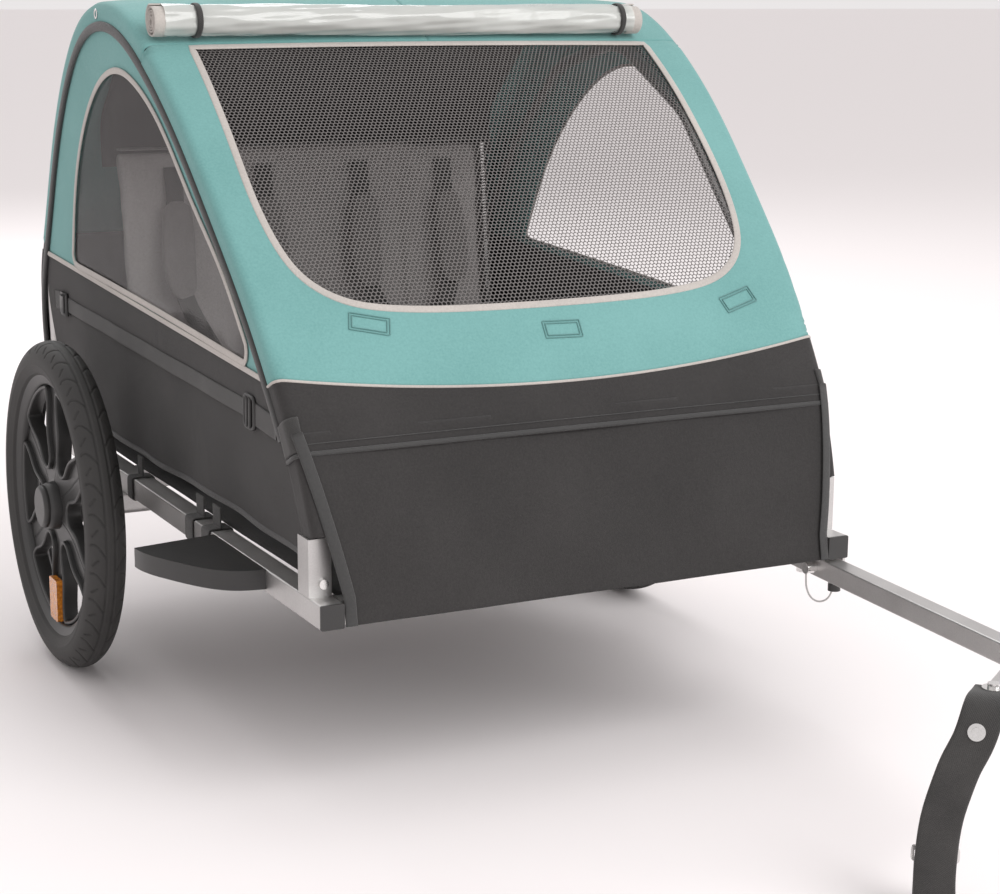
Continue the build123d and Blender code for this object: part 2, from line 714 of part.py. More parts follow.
def lanyard_anchor():
    """A rubber plug in the underside of the arm that the lock pin's wire clips on."""
    point = arm_point(-636)
    base = arm_z - arm_size / 2
    stem = rod((point.X, point.Y, base - 3), (point.X, point.Y, base), 4.5)
    knob = rod((point.X, point.Y, base - 11), (point.X, point.Y, base - 3), 7.0)
    return stem + knob


wire_d = 2.0


def wire(points, radii):
    """A round wire along straight runs joined by tangent arcs."""
    line = FilletPolyline(*points, radius=radii)
    start = Plane(origin=points[0], z_dir=Vector(*points[1]) - Vector(*points[0]))
    return sweep(start * Circle(wire_d / 2), path=line)


def route_radii(points, limit=0.45):
    """As large an arc at each corner as its two runs allow."""
    radii = []
    for a, b, c in zip(points, points[1:], points[2:]):
        first, second = Vector(*b) - Vector(*a), Vector(*c) - Vector(*b)
        turn = math.radians(first.get_angle(second))
        radii.append(limit * min(first.length, second.length) / math.tan(turn / 2))
    return radii


lock_lanyard_route = [
    (276.0, -612.0, 187.0), (275.4, -612.8, 178.0), (276.0, -614.8, 168.5), (279.0, -618.5, 160.5),
    (284.5, -623.6, 156.5), (290.2, -629.0, 158.5), (293.8, -633.0, 164.0), (295.0, -634.8, 170.6),
]
pin_lanyard_route = [
    (165.4, -1060.0, 176.6), (165.8, -1058.6, 166.0), (165.2, -1057.0, 154.0), (163.8, -1055.4, 141.0),
    (161.4, -1053.6, 128.0), (156.4, -1051.2, 116.0), (148.0, -1048.6, 107.5), (138.4, -1046.0, 103.5),
    (129.6, -1043.8, 98.5), (124.2, -1042.7, 91.5), (123.2, -1042.6, 84.6),
]


def lanyard(name, points):
    radii = route_radii(points)
    solid = wire(points, radii)
    print(name, "radii", [round(r, 1) for r in radii], "volume / section x length",
          round(solid.volume / (math.pi * wire_d ** 2 / 4 * FilletPolyline(*points, radius=radii).length), 3))
    return solid


strap_route = [
    (0, 0, 13), (-14, -11, 13), (-24, -18, 8), (-32, -22, -4), (-40, -22, -24), (-48, -19, -42),
    (-54, -16, -62), (-60, -11, -94), (-62, -8, -130), (-59, -4, -165), (-57.5, -3, -178),
]


strap_across = (0.80, -0.60, 0)
strap_back = Vector(0.60, 0.80, 0)     # towards the side of the strap that faces the trailer
strap_turn = [(3.0, 6.5), (8.0, 2.4), (13.0, 1.7), (18.0, 2.4), (23.0, 6.5), (25.0, 16.0), (25.5, 30.0),
              (25.5, 42.0)]            # offset towards the trailer and height, round the lower bend


def strap_points(route):
    """Points given from the strap's bolt, in the trailer's frame."""
    return [(bolt_point.X + x, bolt_point.Y + y, arm_z + z) for x, y, z in route]


def lower_bend():
    low_x, low_y, _ = strap_points(strap_route)[-1]
    return [(low_x + strap_back.X * shift, low_y + strap_back.Y * shift, z) for shift, z in strap_turn]


def safety_strap():
    """Webbing bolted on the arm's end that hangs to the ground, turns back and rises to its ring."""
    centres = strap_points(strap_route)
    start = bolt_point - front_dir * 11
    centres[0] = (start.X, start.Y, arm_z + strap_route[0][2])
    strap = band(centres + lower_bend(), strap_across, strap_width, strap_thickness)
    return strap - rod(bolt_point + Vector(0, 0, 5), bolt_point + Vector(0, 0, 30), 3.05)


def strap_rivet():
    """A domed rivet that closes the strap's fold round the arm's end."""
    a, b = Vector(*strap_points(strap_route)[3]), Vector(*strap_points(strap_route)[4])
    middle = (a + b) / 2
    out = (b - a).cross(Vector(*strap_across)).normalized()
    if out.Y > 0:
        out = out * -1
    base = middle + out * (strap_thickness / 2 + 0.2)
    washer = rod(base, base + out * 1.2, 8.0)
    dome = rod(base + out * 1.2, base + out * 3.6, 4.5)
    return washer + dome


coupler_route = [
    (-4, -3, 0), (-12, -9, 0), (-20, -14, -5), (-27, -16, -16), (-34, -14, -36), (-39, -9, -60),
    (-44, -3, -90), (-45, 2, -118),
]
coupler_width = 17.0
coupler_thickness = 12.0
tongue_bore_r = 5.0
tongue_thickness = 5.0
tongue_bore_z = 28.0


def tongue_frame():
    """A plane under the coupler: x across the strap, y towards the trailer, z up."""
    x, y, z = strap_points(coupler_route)[-1]
    return Plane(origin=(x, y, 0), x_dir=strap_across, z_dir=(0, 0, 1)), z


def tongue_blank(extra):
    frame, z = tongue_frame()
    blank = block(-tongue_thickness / 2 - extra, tongue_thickness / 2 + extra, -9 - extra, 9 + extra, 14, z + 16)
    return frame * blank


def flex_coupler():
    """The tough flexible link that lets the trailer lean and turn behind the bicycle."""
    link = band(strap_points(coupler_route), strap_across, coupler_width, coupler_thickness)
    body = link + plug_block()
    body -= rod(bolt_point - Vector(0, 0, 30), bolt_point + Vector(0, 0, 30), 3.05)
    return body - tongue_blank(0)


def plug_block():
    """The coupler's root, a square block inside the arm's end."""
    start, end = arm_end - front_dir * 34, arm_end + front_dir * 1
    turn = math.degrees(math.atan2(front_dir.Y, front_dir.X)) - 90
    half = arm_size / 2 - arm_wall - 0.1
    return Pos(*start) * Rot(0, 0, turn) * block(-half, half, 0, (end - start).length, -half, half)


def hitch_tongue():
    """The steel tongue with the bore that drops over the bicycle's hitch pin."""
    frame, _ = tongue_frame()
    tongue = tongue_blank(0)
    bore = frame * rod((-20, 0, tongue_bore_z), (20, 0, tongue_bore_z), tongue_bore_r)
    return tongue - bore


def strap_ring():
    """A rectangular wire ring at the strap's returning end."""
    x, y, z = lower_bend()[-1]
    frame = Plane(origin=(x, y, z + 1.6 + fit_gap), x_dir=strap_across, z_dir=-strap_back)
    half = strap_width / 2 + 1.5
    outer = Pos(0, 6) * RectangleRounded(2 * half + 3.2, 15.2, 4.0)
    inner = Pos(0, 6) * RectangleRounded(2 * half - 3.2, 8.8, 2.0)
    return extrude(frame * (outer - inner), 1.6, both=True)


def snap_hook():
    """A small spring clip that hangs on the ring and holds the pin's lanyard."""
    x, y, z = lower_bend()[-1]
    frame = Plane(origin=(x, y, z), x_dir=strap_across, z_dir=-strap_back)
    low = 1.6 + fit_gap + 13.6 + fit_gap
    shank = Pos(0, low + 13) * RectangleRounded(9, 26, 4.4)
    eye = Pos(0, low + 20) * Circle(2.4)
    return extrude(frame * (shank - eye), 2.0, both=True)


def hitch_pin():
    """The pin that locks the tongue on the bicycle, hanging on its wire."""
    body = rod((160.6, -1058, 163), (155.5, -1054.5, 127), 3.5)
    return fillet(body.edges(), 1.0)


def strap_bolt():
    top = arm_z + strap_route[0][2] + strap_thickness / 2
    bottom = arm_z - arm_size / 2
    x, y = bolt_point.X, bolt_point.Y
    shank = rod((x, y, bottom - 5), (x, y, top + 1), 3.0)
    washer = rod((x, y, top + fit_gap), (x, y, top + 1.5), 11.0)
    head = rod((x, y, top + 1.5), (x, y, top + 5.5), 6.0)
    nut = Plane(origin=(x, y, bottom - 4.5), z_dir=(0, 0, 1)) * extrude(RegularPolygon(5.5, 6), 4.5)
    return fuse([shank, washer, head, nut])


for wheel_side, label in ((-1, "right"), (1, "left")):
    pivot = right_pivot_z if wheel_side < 0 else left_pivot_z
    export(side_rail(wheel_side), f"{label}_side_rail")
    export(axle(wheel_side), f"{label}_axle")
    export(tyre(wheel_side), f"{label}_tyre")
    export(wheel_moulding(wheel_side), f"{label}_wheel_moulding")
    export(bearings(wheel_side), f"{label}_wheel_bearings")
    export(hub_cap(wheel_side), f"{label}_hub_cap")
    export(reflector(wheel_side), f"{label}_reflector")
    export(hoop(wheel_side, pivot), f"{label}_hoop")
    export(canopy_side(wheel_side), f"{label}_canopy_side")
    export(side_window(wheel_side), f"{label}_side_window")
    export(side_skirt(wheel_side), f"{label}_side_skirt")
    export(side_strap(wheel_side), f"{label}_side_strap")
    export(strap_buckles(wheel_side), f"{label}_strap_buckles")

export([cross_tube(y) for y in cross_tube_y], "cross_tubes")
export([end_cap(s, y, o) for s in (-1, 1) for y, o in ((rail_front_y, -1), (rail_rear_y, 1))], "rail_end_caps")
pivots = [(s, y, z) for s, z in ((-1, right_pivot_z), (1, left_pivot_z)) for y in (front_pivot_y, rear_pivot_y)]
export([hoop_bracket(*p) for p in pivots], "hoop_brackets")
export([pivot_bolt(*p) for p in pivots], "hoop_pivot_bolts")
export([axle_receiver(s) for s in (-1, 1)], "axle_receivers")
export([wheel_guard(s) for s in (-1, 1)], "wheel_guards")
export([rail_strap(s, y, w) for s in (-1, 1) for y, w in rail_strap_places], "rail_straps")
export(front_lower_panel(), "front_lower_panel")
export(front_cover(), "front_cover")
export(mesh_screen(), "mesh_screen")
export(canopy_roof(), "canopy_roof")
export(rear_panel(), "rear_panel")
export(floor_panel(), "floor_panel")
export(seat_base(), "seat_base")
export(seat_back(), "seat_back")
export(harness_set(), "seat_harnesses")
export(crossbar(), "roof_crossbar")
export(rain_cover_roll(), "rain_cover_roll")
export(roll_ties(), "roll_ties")
export(arm_tube(), "arm_tube")
export(arm_front_tube(), "arm_front_tube")
export(elbow_gussets() + elbow_rivets(), "elbow_plates_and_rivets")
export(arm_bracket(), "arm_bracket")
export(arm_pivot_bolt(), "arm_pivot_bolt")
export(arm_lock_pin(), "arm_lock_pin")
export(lanyard_anchor(), "lanyard_anchor")
export(lanyard("lock_pin_lanyard", lock_lanyard_route), "lock_pin_lanyard")
export(safety_strap(), "safety_strap")
export(strap_bolt(), "strap_bolt")
export(flex_coupler(), "flex_coupler")
export(hitch_tongue(), "hitch_tongue")
export([strap_rivet(), strap_ring(), snap_hook()], "strap_hardware")
export(hitch_pin(), "hitch_pin")
export(lanyard("hitch_pin_lanyard", pin_lanyard_route), "hitch_pin_lanyard")
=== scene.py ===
# %% [markdown]
# # A child bicycle trailer
# The frame, the wheels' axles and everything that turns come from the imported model. This file makes what is
# seen: sewn fabric, clear vinyl, knitted mesh, webbing, moulded wheels and rubber tyres. Each new piece is a
# surface worked out with numpy, because a sewn cabin is a set of thin curved sheets whose edges have to meet.

# %% Load the frame
import json
import math
import bpy
import numpy as np
from mathutils import Matrix, Vector


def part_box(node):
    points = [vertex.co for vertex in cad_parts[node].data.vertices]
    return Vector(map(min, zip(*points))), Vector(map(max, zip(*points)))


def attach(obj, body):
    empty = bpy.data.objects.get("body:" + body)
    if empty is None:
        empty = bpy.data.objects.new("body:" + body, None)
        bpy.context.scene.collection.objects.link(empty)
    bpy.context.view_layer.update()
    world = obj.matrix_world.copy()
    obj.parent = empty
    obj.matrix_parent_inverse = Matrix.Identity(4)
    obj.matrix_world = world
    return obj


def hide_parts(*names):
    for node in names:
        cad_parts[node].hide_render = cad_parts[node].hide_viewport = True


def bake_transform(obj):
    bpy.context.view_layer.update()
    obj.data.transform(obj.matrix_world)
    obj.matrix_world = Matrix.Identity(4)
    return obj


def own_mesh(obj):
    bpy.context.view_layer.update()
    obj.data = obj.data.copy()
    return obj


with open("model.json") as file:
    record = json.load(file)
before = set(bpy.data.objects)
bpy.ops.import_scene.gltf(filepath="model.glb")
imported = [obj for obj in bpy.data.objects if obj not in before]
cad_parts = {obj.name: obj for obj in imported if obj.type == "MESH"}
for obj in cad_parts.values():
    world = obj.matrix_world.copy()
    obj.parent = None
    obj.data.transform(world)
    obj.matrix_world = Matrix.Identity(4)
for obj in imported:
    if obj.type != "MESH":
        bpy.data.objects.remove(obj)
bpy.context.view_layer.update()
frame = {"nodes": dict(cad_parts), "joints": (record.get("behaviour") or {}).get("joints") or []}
nodes = frame["nodes"]
joints = {joint["name"]: joint for joint in frame["joints"]}
mm = 0.001

# %% [markdown]
# ## Camera, floor and light
# The trailer is seen from its front right corner, a little from above, through a long lens, so its lines stay
# almost parallel. A pale floor and wide soft lamps give the even light of a catalogue picture.


# %% Camera
def aim_camera(place, yaw, pitch, roll, focal):
    """A camera at a place, turned by yaw about Z, down by pitch and rolled about its own axis (degrees)."""
    yaw, pitch, roll = (math.radians(a) for a in (yaw, pitch, roll))
    ahead = Vector((math.sin(yaw) * math.cos(pitch), math.cos(yaw) * math.cos(pitch), -math.sin(pitch)))
    right = Vector((math.cos(yaw), -math.sin(yaw), 0))
    up = right.cross(ahead)
    right, up = (right * math.cos(roll) + up * math.sin(roll), up * math.cos(roll) - right * math.sin(roll))
    camera = bpy.data.objects.new("camera", bpy.data.cameras.new("camera"))
    bpy.context.scene.collection.objects.link(camera)
    camera.matrix_world = Matrix.Translation(place) @ Matrix((right, up, -ahead)).transposed().to_4x4()
    camera.data.lens = focal
    camera.data.shift_x, camera.data.shift_y = -0.0006, 0.0055
    camera.data.clip_end = 60
    bpy.context.scene.camera = camera
    return camera


camera = aim_camera(Vector((-1.0688, -2.4828, 0.8338)), 27.22, 12.65, 0.43, 76.7)


# %% Floor and lamps
def stage_floor(size=90.0):
    """A flat square on the ground plane, with a plain pale finish."""
    mesh = bpy.data.meshes.new("stage_floor")
    half = size / 2
    mesh.from_pydata([(-half, -half, 0), (half, -half, 0), (half, half, 0), (-half, half, 0)], [], [(0, 1, 2, 3)])
    floor = bpy.data.objects.new("stage_floor", mesh)
    bpy.context.scene.collection.objects.link(floor)
    finish = bpy.data.materials.new("pale_floor")
    finish.use_nodes = True
    shader = finish.node_tree.nodes["Principled BSDF"]
    shader.inputs["Base Color"].default_value = (0.90, 0.862, 0.862, 1)
    shader.inputs["Roughness"].default_value = 0.9
    mesh.materials.append(finish)
    return floor


def lamp(name, place, target, size, power, tint=(1, 1, 1)):
    """A square area lamp that faces a target."""
    data = bpy.data.lights.new(name, "AREA")
    data.energy, data.size, data.color = power, size, tint
    light = bpy.data.objects.new(name, data)
    light.location = place
    light.rotation_euler = (Vector(target) - Vector(place)).to_track_quat("-Z", "Y").to_euler()
    bpy.context.scene.collection.objects.link(light)


stage_floor()
lamp("key", (1.5, -4.0, 3.2), (0, -0.3, 0.3), 3.4, 150)
lamp("fill", (-3.6, -1.8, 2.4), (0, -0.2, 0.4), 3.2, 4)
lamp("back", (0.4, 3.4, 3.2), (0, 0, 0.5), 3.0, 70)
world = bpy.data.worlds.new("studio")
bpy.context.scene.world = world
world.use_nodes = True
world.node_tree.nodes["Background"].inputs["Color"].default_value = (0.96, 0.93, 0.93, 1)
world.node_tree.nodes["Background"].inputs["Strength"].default_value = 0.86
bpy.context.scene.view_settings.view_transform = "Standard"

# %% [markdown]
# ## Finishes
# Cloth, rubber and moulded plastic all have a fine grain and a slow change of tone. Two shader groups make
# those effects once: `weave` crosses two sets of threads, and `tone` mixes a coarse and a fine noise. Each
# material then sets its own colours and strengths.


# %% Shader groups
def new_group(name, inputs, outputs):
    """An empty shader group with the named sockets, and its input and output nodes."""
    group = bpy.data.node_groups.new(name, "ShaderNodeTree")
    for socket, kind in inputs:
        group.interface.new_socket(socket, in_out="INPUT", socket_type=kind)
    for socket, kind in outputs:
        group.interface.new_socket(socket, in_out="OUTPUT", socket_type=kind)
    return group, group.nodes.new("NodeGroupInput"), group.nodes.new("NodeGroupOutput")


def maths(tree, operation, first, second=None):
    """A Math node whose inputs are sockets or numbers."""
    node = tree.nodes.new("ShaderNodeMath")
    node.operation = operation
    for slot, value in enumerate((first, second)):
        if value is None:
            continue
        if isinstance(value, (int, float)):
            node.inputs[slot].default_value = value
        else:
            tree.links.new(value, node.inputs[slot])
    return node.outputs[0]


def build_weave():
    """Height of a plain weave: the product of two sine waves, one for each set of threads."""
    tree, given, result = new_group("weave", [("Vector", "NodeSocketVector"), ("Threads", "NodeSocketFloat")],
                                    [("Height", "NodeSocketFloat")])
    split = tree.nodes.new("ShaderNodeSeparateXYZ")
    tree.links.new(given.outputs["Vector"], split.inputs[0])
    waves = []
    for axis in (0, 1):
        turns = maths(tree, "MULTIPLY", split.outputs[axis], given.outputs["Threads"])
        waves.append(maths(tree, "SINE", maths(tree, "MULTIPLY", turns, math.tau)))
    product = maths(tree, "MULTIPLY", waves[0], waves[1])
    tree.links.new(maths(tree, "ADD", maths(tree, "MULTIPLY", product, 0.5), 0.5), result.inputs["Height"])
    return tree


def build_tone():
    """A value about 0.5 that drifts slowly over the surface, with a fine grain on top."""
    tree, given, result = new_group("tone", [("Vector", "NodeSocketVector"), ("Coarse", "NodeSocketFloat"),
                                             ("Fine", "NodeSocketFloat")], [("Value", "NodeSocketFloat")])
    values = []
    for socket, detail in (("Coarse", 4.0), ("Fine", 2.0)):
        noise = tree.nodes.new("ShaderNodeTexNoise")
        noise.inputs["Detail"].default_value = detail
        tree.links.new(given.outputs["Vector"], noise.inputs["Vector"])
        tree.links.new(given.outputs[socket], noise.inputs["Scale"])
        values.append(noise.outputs[0])
    mixed = maths(tree, "ADD", maths(tree, "MULTIPLY", values[0], 0.55), maths(tree, "MULTIPLY", values[1], 0.45))
    tree.links.new(mixed, result.inputs["Value"])
    return tree


WEAVE, TONE = build_weave(), build_tone()


def place_group(tree, group, vector, **values):
    """A group node in a material, fed with a vector and plain numbers."""
    node = tree.nodes.new("ShaderNodeGroup")
    node.node_tree = group
    tree.links.new(vector, node.inputs["Vector"])
    for socket, value in values.items():
        node.inputs[socket].default_value = value
    return node.outputs[0]


def two_tone(tree, factor, dark, light, low=0.3, high=0.7):
    """A ramp from a dark to a light colour."""
    ramp = tree.nodes.new("ShaderNodeValToRGB")
    ramp.color_ramp.elements[0].position, ramp.color_ramp.elements[1].position = low, high
    ramp.color_ramp.elements[0].color, ramp.color_ramp.elements[1].color = (*dark, 1), (*light, 1)
    tree.links.new(factor, ramp.inputs[0])
    return ramp.outputs[0]


def add_bump(tree, shader, height, strength, distance, under=None):
    """A Bump node on the shader's normal."""
    bump = tree.nodes.new("ShaderNodeBump")
    bump.inputs["Strength"].default_value = strength
    bump.inputs["Distance"].default_value = distance
    tree.links.new(height, bump.inputs["Height"])
    if under is not None:
        tree.links.new(under, bump.inputs["Normal"])
    tree.links.new(bump.outputs[0], shader.inputs["Normal"])
    return bump.outputs[0]


def new_finish(name, roughness, metallic=0.0, **sockets):
    """A material and its Principled shader, with plain values on the shader's own sockets."""
    finish = bpy.data.materials.new(name)
    finish.use_nodes = True
    tree = finish.node_tree
    shader = tree.nodes["Principled BSDF"]
    shader.inputs["Roughness"].default_value = roughness
    shader.inputs["Metallic"].default_value = metallic
    for socket, value in sockets.items():
        shader.inputs[socket.replace("_", " ")].default_value = value
    place = tree.nodes.new("ShaderNodeTexCoord")
    return finish, tree, shader, place.outputs["Object"], place.outputs["UV"]


# %% [markdown]
# ## Cloth finishes
# The cabin is coated polyester. Its threads are under a millimetre, so they show as a soft grain, and the cloth
# has long shallow creases. The creases are a stretched noise on the piece's own UV map, which is in metres.


# %% Cloth
def cloth(name, dark, light, threads=900.0, crease=0.25, grain=0.35, roughness=0.82, sheen=0.25):
    """Coated cloth: long creases and a fine weave as bumps, and a soft change of tone."""
    finish, tree, shader, spot, uv = new_finish(name, roughness)
    shader.inputs["Sheen Weight"].default_value = sheen
    shader.inputs["Sheen Roughness"].default_value = 0.5
    tone = place_group(tree, TONE, spot, Coarse=7.0, Fine=420.0)
    tree.links.new(two_tone(tree, tone, dark, light, 0.35, 0.65), shader.inputs["Base Color"])
    folds = tree.nodes.new("ShaderNodeTexNoise")
    folds.inputs["Scale"].default_value = 9.0
    folds.inputs["Detail"].default_value = 3.0
    folds.inputs["Distortion"].default_value = 0.6
    tree.links.new(spot, folds.inputs["Vector"])
    creased = add_bump(tree, shader, folds.outputs[0], crease, 0.012)
    woven = place_group(tree, WEAVE, uv, Threads=threads)
    mixed = maths(tree, "ADD", maths(tree, "MULTIPLY", woven, 0.6), maths(tree, "MULTIPLY", tone, 1.4))
    add_bump(tree, shader, mixed, grain, 0.0006, creased)
    return finish


TEAL = cloth("teal_cloth", (0.125, 0.300, 0.288), (0.165, 0.365, 0.352), sheen=0.12)
BLACK = cloth("black_cloth", (0.0136, 0.0121, 0.0118), (0.0267, 0.0242, 0.0236), grain=0.6, sheen=0.12)
SEAT = cloth("seat_cloth", (0.115, 0.105, 0.102), (0.180, 0.168, 0.163), grain=0.6)
BINDING = cloth("binding_tape", (0.40, 0.37, 0.345), (0.50, 0.465, 0.43), threads=1400, crease=0.05)
PIPING = cloth("black_piping", (0.018, 0.018, 0.018), (0.032, 0.031, 0.03), threads=1600, crease=0.0,
               roughness=0.6)
GREY = cloth("grey_panel", (0.25, 0.232, 0.228), (0.34, 0.32, 0.31), crease=0.3)


def webbing(name, dark, light, rib=420.0):
    """Webbing: ribs across the tape and a fine grain."""
    finish, tree, shader, spot, uv = new_finish(name, 0.75)
    shader.inputs["Sheen Weight"].default_value = 0.2
    tone = place_group(tree, TONE, spot, Coarse=30.0, Fine=900.0)
    tree.links.new(two_tone(tree, tone, dark, light), shader.inputs["Base Color"])
    woven = place_group(tree, WEAVE, uv, Threads=rib)
    add_bump(tree, shader, maths(tree, "ADD", woven, tone), 0.55, 0.0008)
    return finish


STRAP = webbing("black_webbing", (0.014, 0.0135, 0.013), (0.040, 0.038, 0.036))


# %% Steel, plastic, rubber
def metal(name, dark, light, roughness, scratch=0.12):
    """Drawn or plated metal: its tone changes the colour and the roughness together."""
    finish, tree, shader, spot, _ = new_finish(name, roughness, 1.0)
    tone = place_group(tree, TONE, spot, Coarse=18.0, Fine=600.0)
    tree.links.new(two_tone(tree, tone, dark, light), shader.inputs["Base Color"])
    rough = tree.nodes.new("ShaderNodeMapRange")
    rough.inputs["To Min"].default_value, rough.inputs["To Max"].default_value = roughness - 0.08, roughness + 0.1
    tree.links.new(tone, rough.inputs["Value"])
    tree.links.new(rough.outputs[0], shader.inputs["Roughness"])
    add_bump(tree, shader, tone, scratch, 0.0004)
    return finish


SILVER = metal("satin_silver_tube", (0.50, 0.49, 0.485), (0.62, 0.61, 0.60), 0.42)
BRIGHT = metal("bright_steel", (0.66, 0.65, 0.64), (0.80, 0.79, 0.78), 0.18)


def moulded(name, dark, light, roughness, bump=0.2, coat=0.0):
    """Plastic or rubber with a fine moulded grain."""
    finish, tree, shader, spot, _ = new_finish(name, roughness)
    shader.inputs["Coat Weight"].default_value = coat
    shader.inputs["Coat Roughness"].default_value = 0.3
    tone = place_group(tree, TONE, spot, Coarse=14.0, Fine=1400.0)
    tree.links.new(two_tone(tree, tone, dark, light), shader.inputs["Base Color"])
    add_bump(tree, shader, tone, bump, 0.0005)
    return finish


PLASTIC = moulded("black_plastic", (0.018, 0.018, 0.018), (0.033, 0.032, 0.031), 0.42, coat=0.1)
TYRE = moulded("tyre_rubber", (0.020, 0.0195, 0.019), (0.042, 0.040, 0.038), 0.68, bump=0.4)
ELASTIC = moulded("coupler_elastomer", (0.02, 0.02, 0.02), (0.035, 0.034, 0.033), 0.55)


def lens(name="amber_lens"):
    """A reflector: small cells under a clear coat."""
    finish, tree, shader, spot, _ = new_finish(name, 0.18)
    shader.inputs["Coat Weight"].default_value = 0.6
    cells = tree.nodes.new("ShaderNodeTexVoronoi")
    cells.inputs["Scale"].default_value = 260.0
    tree.links.new(spot, cells.inputs["Vector"])
    tree.links.new(two_tone(tree, cells.outputs["Distance"], (0.80, 0.30, 0.03), (0.52, 0.16, 0.02), 0.1, 0.8),
                   shader.inputs["Base Color"])
    add_bump(tree, shader, cells.outputs["Distance"], 0.6, 0.001)
    return finish


AMBER = lens()


# %% Clear vinyl and mesh
def vinyl(name, tint, alpha, wrinkle, roughness=0.12):
    """Clear flexible sheet: mostly see-through, with a bright gloss and soft ripples."""
    finish, tree, shader, spot, _ = new_finish(name, roughness)
    shader.inputs["Base Color"].default_value = (*tint, 1)
    shader.inputs["Alpha"].default_value = alpha
    shader.inputs["Coat Weight"].default_value = 0.8
    shader.inputs["Coat Roughness"].default_value = 0.05
    ripple = tree.nodes.new("ShaderNodeTexNoise")
    ripple.inputs["Scale"].default_value = 12.0
    ripple.inputs["Detail"].default_value = 2.0
    tree.links.new(spot, ripple.inputs["Vector"])
    add_bump(tree, shader, ripple.outputs[0], wrinkle, 0.02)
    return finish


SMOKE = vinyl("smoky_vinyl", (0.40, 0.38, 0.38), 0.16, 0.25)
CLEAR = vinyl("clear_vinyl", (0.62, 0.64, 0.61), 0.70, 1.0, 0.06)


def knitted(name, colour, pitch, hole):
    """Open mesh: rows of round holes, every other row moved half a pitch, cut out with alpha."""
    finish, tree, shader, spot, uv = new_finish(name, 0.7)
    shader.inputs["Base Color"].default_value = (*colour, 1)
    split = tree.nodes.new("ShaderNodeSeparateXYZ")
    tree.links.new(uv, split.inputs[0])
    row = maths(tree, "DIVIDE", split.outputs[1], pitch * 0.866)
    odd = maths(tree, "MULTIPLY", maths(tree, "MODULO", maths(tree, "FLOOR", row), 2.0), 0.5)
    column = maths(tree, "ADD", maths(tree, "DIVIDE", split.outputs[0], pitch), odd)
    across = maths(tree, "SUBTRACT", maths(tree, "FRACT", column), 0.5)
    along = maths(tree, "MULTIPLY", maths(tree, "SUBTRACT", maths(tree, "FRACT", row), 0.5), 0.866)
    far = maths(tree, "SQRT", maths(tree, "ADD", maths(tree, "MULTIPLY", across, across),
                                    maths(tree, "MULTIPLY", along, along)))
    solid = maths(tree, "GREATER_THAN", far, hole)
    tree.links.new(solid, shader.inputs["Alpha"])
    return finish


MESH = knitted("charcoal_mesh", (0.125, 0.115, 0.112), 5.0 * mm, 0.40)
print("finishes", len(bpy.data.materials))

# %% [markdown]
# ## Helpers that make surfaces
# Everything sewn is a grid of points. `lay_grid` turns an array of points (rows x columns x 3) into a mesh with
# a UV map in metres, so that a weave has the same size on every piece.


# %% Grids
def link_mesh(name, verts, faces, finish, uvs=None, smooth=True):
    """A mesh object from arrays, with an optional UV per vertex."""
    mesh = bpy.data.meshes.new(name)
    mesh.from_pydata(verts.tolist(), [], faces.tolist())
    if uvs is not None:
        layer = mesh.uv_layers.new(name="UVMap")
        corners = np.empty(len(mesh.loops), dtype=np.int32)
        mesh.loops.foreach_get("vertex_index", corners)
        layer.data.foreach_set("uv", uvs[corners].astype(np.float32).ravel())
    mesh.polygons.foreach_set("use_smooth", [smooth] * len(mesh.polygons))
    mesh.materials.append(finish)
    mesh.update()
    piece = bpy.data.objects.new(name, mesh)
    bpy.context.scene.collection.objects.link(piece)
    return piece


def grid_faces(rows, cols, wrap_rows=False, wrap_cols=False):
    """Quads between neighbouring grid points; a wrapped side joins its last line to its first."""
    r = np.arange(rows if wrap_rows else rows - 1)
    c = np.arange(cols if wrap_cols else cols - 1)
    rr, cc = np.meshgrid(r, c, indexing="ij")
    down, along = (rr + 1) % rows, (cc + 1) % cols
    return np.stack([rr * cols + cc, rr * cols + along, down * cols + along, down * cols + cc], -1).reshape(-1, 4)


def grid_uv(points):
    """Distances along the grid's rows and columns, in metres."""
    across = np.linalg.norm(np.diff(points, axis=1), axis=2).mean(0)
    down = np.linalg.norm(np.diff(points, axis=0), axis=2).mean(1)
    u = np.concatenate([[0], np.cumsum(across)])
    v = np.concatenate([[0], np.cumsum(down)])
    return np.stack(np.meshgrid(u, v), -1).reshape(-1, 2)


def lay_grid(name, points, finish, uvs=None, flip=False, wrap_rows=False, wrap_cols=False, thick=0.0):
    """A sheet through a grid of points; thick adds a Solidify wall behind its face."""
    rows, cols = points.shape[:2]
    faces = grid_faces(rows, cols, wrap_rows, wrap_cols)
    if flip:
        faces = faces[:, ::-1]
    piece = link_mesh(name, points.reshape(-1, 3), faces, finish, grid_uv(points) if uvs is None else uvs)
    if thick:
        wall = piece.modifiers.new("wall", "SOLIDIFY")
        wall.thickness = thick
        wall.offset = -1
    return piece


def unit(v):
    """Vectors divided by their lengths."""
    return v / np.maximum(np.linalg.norm(v, axis=-1, keepdims=True), 1e-9)


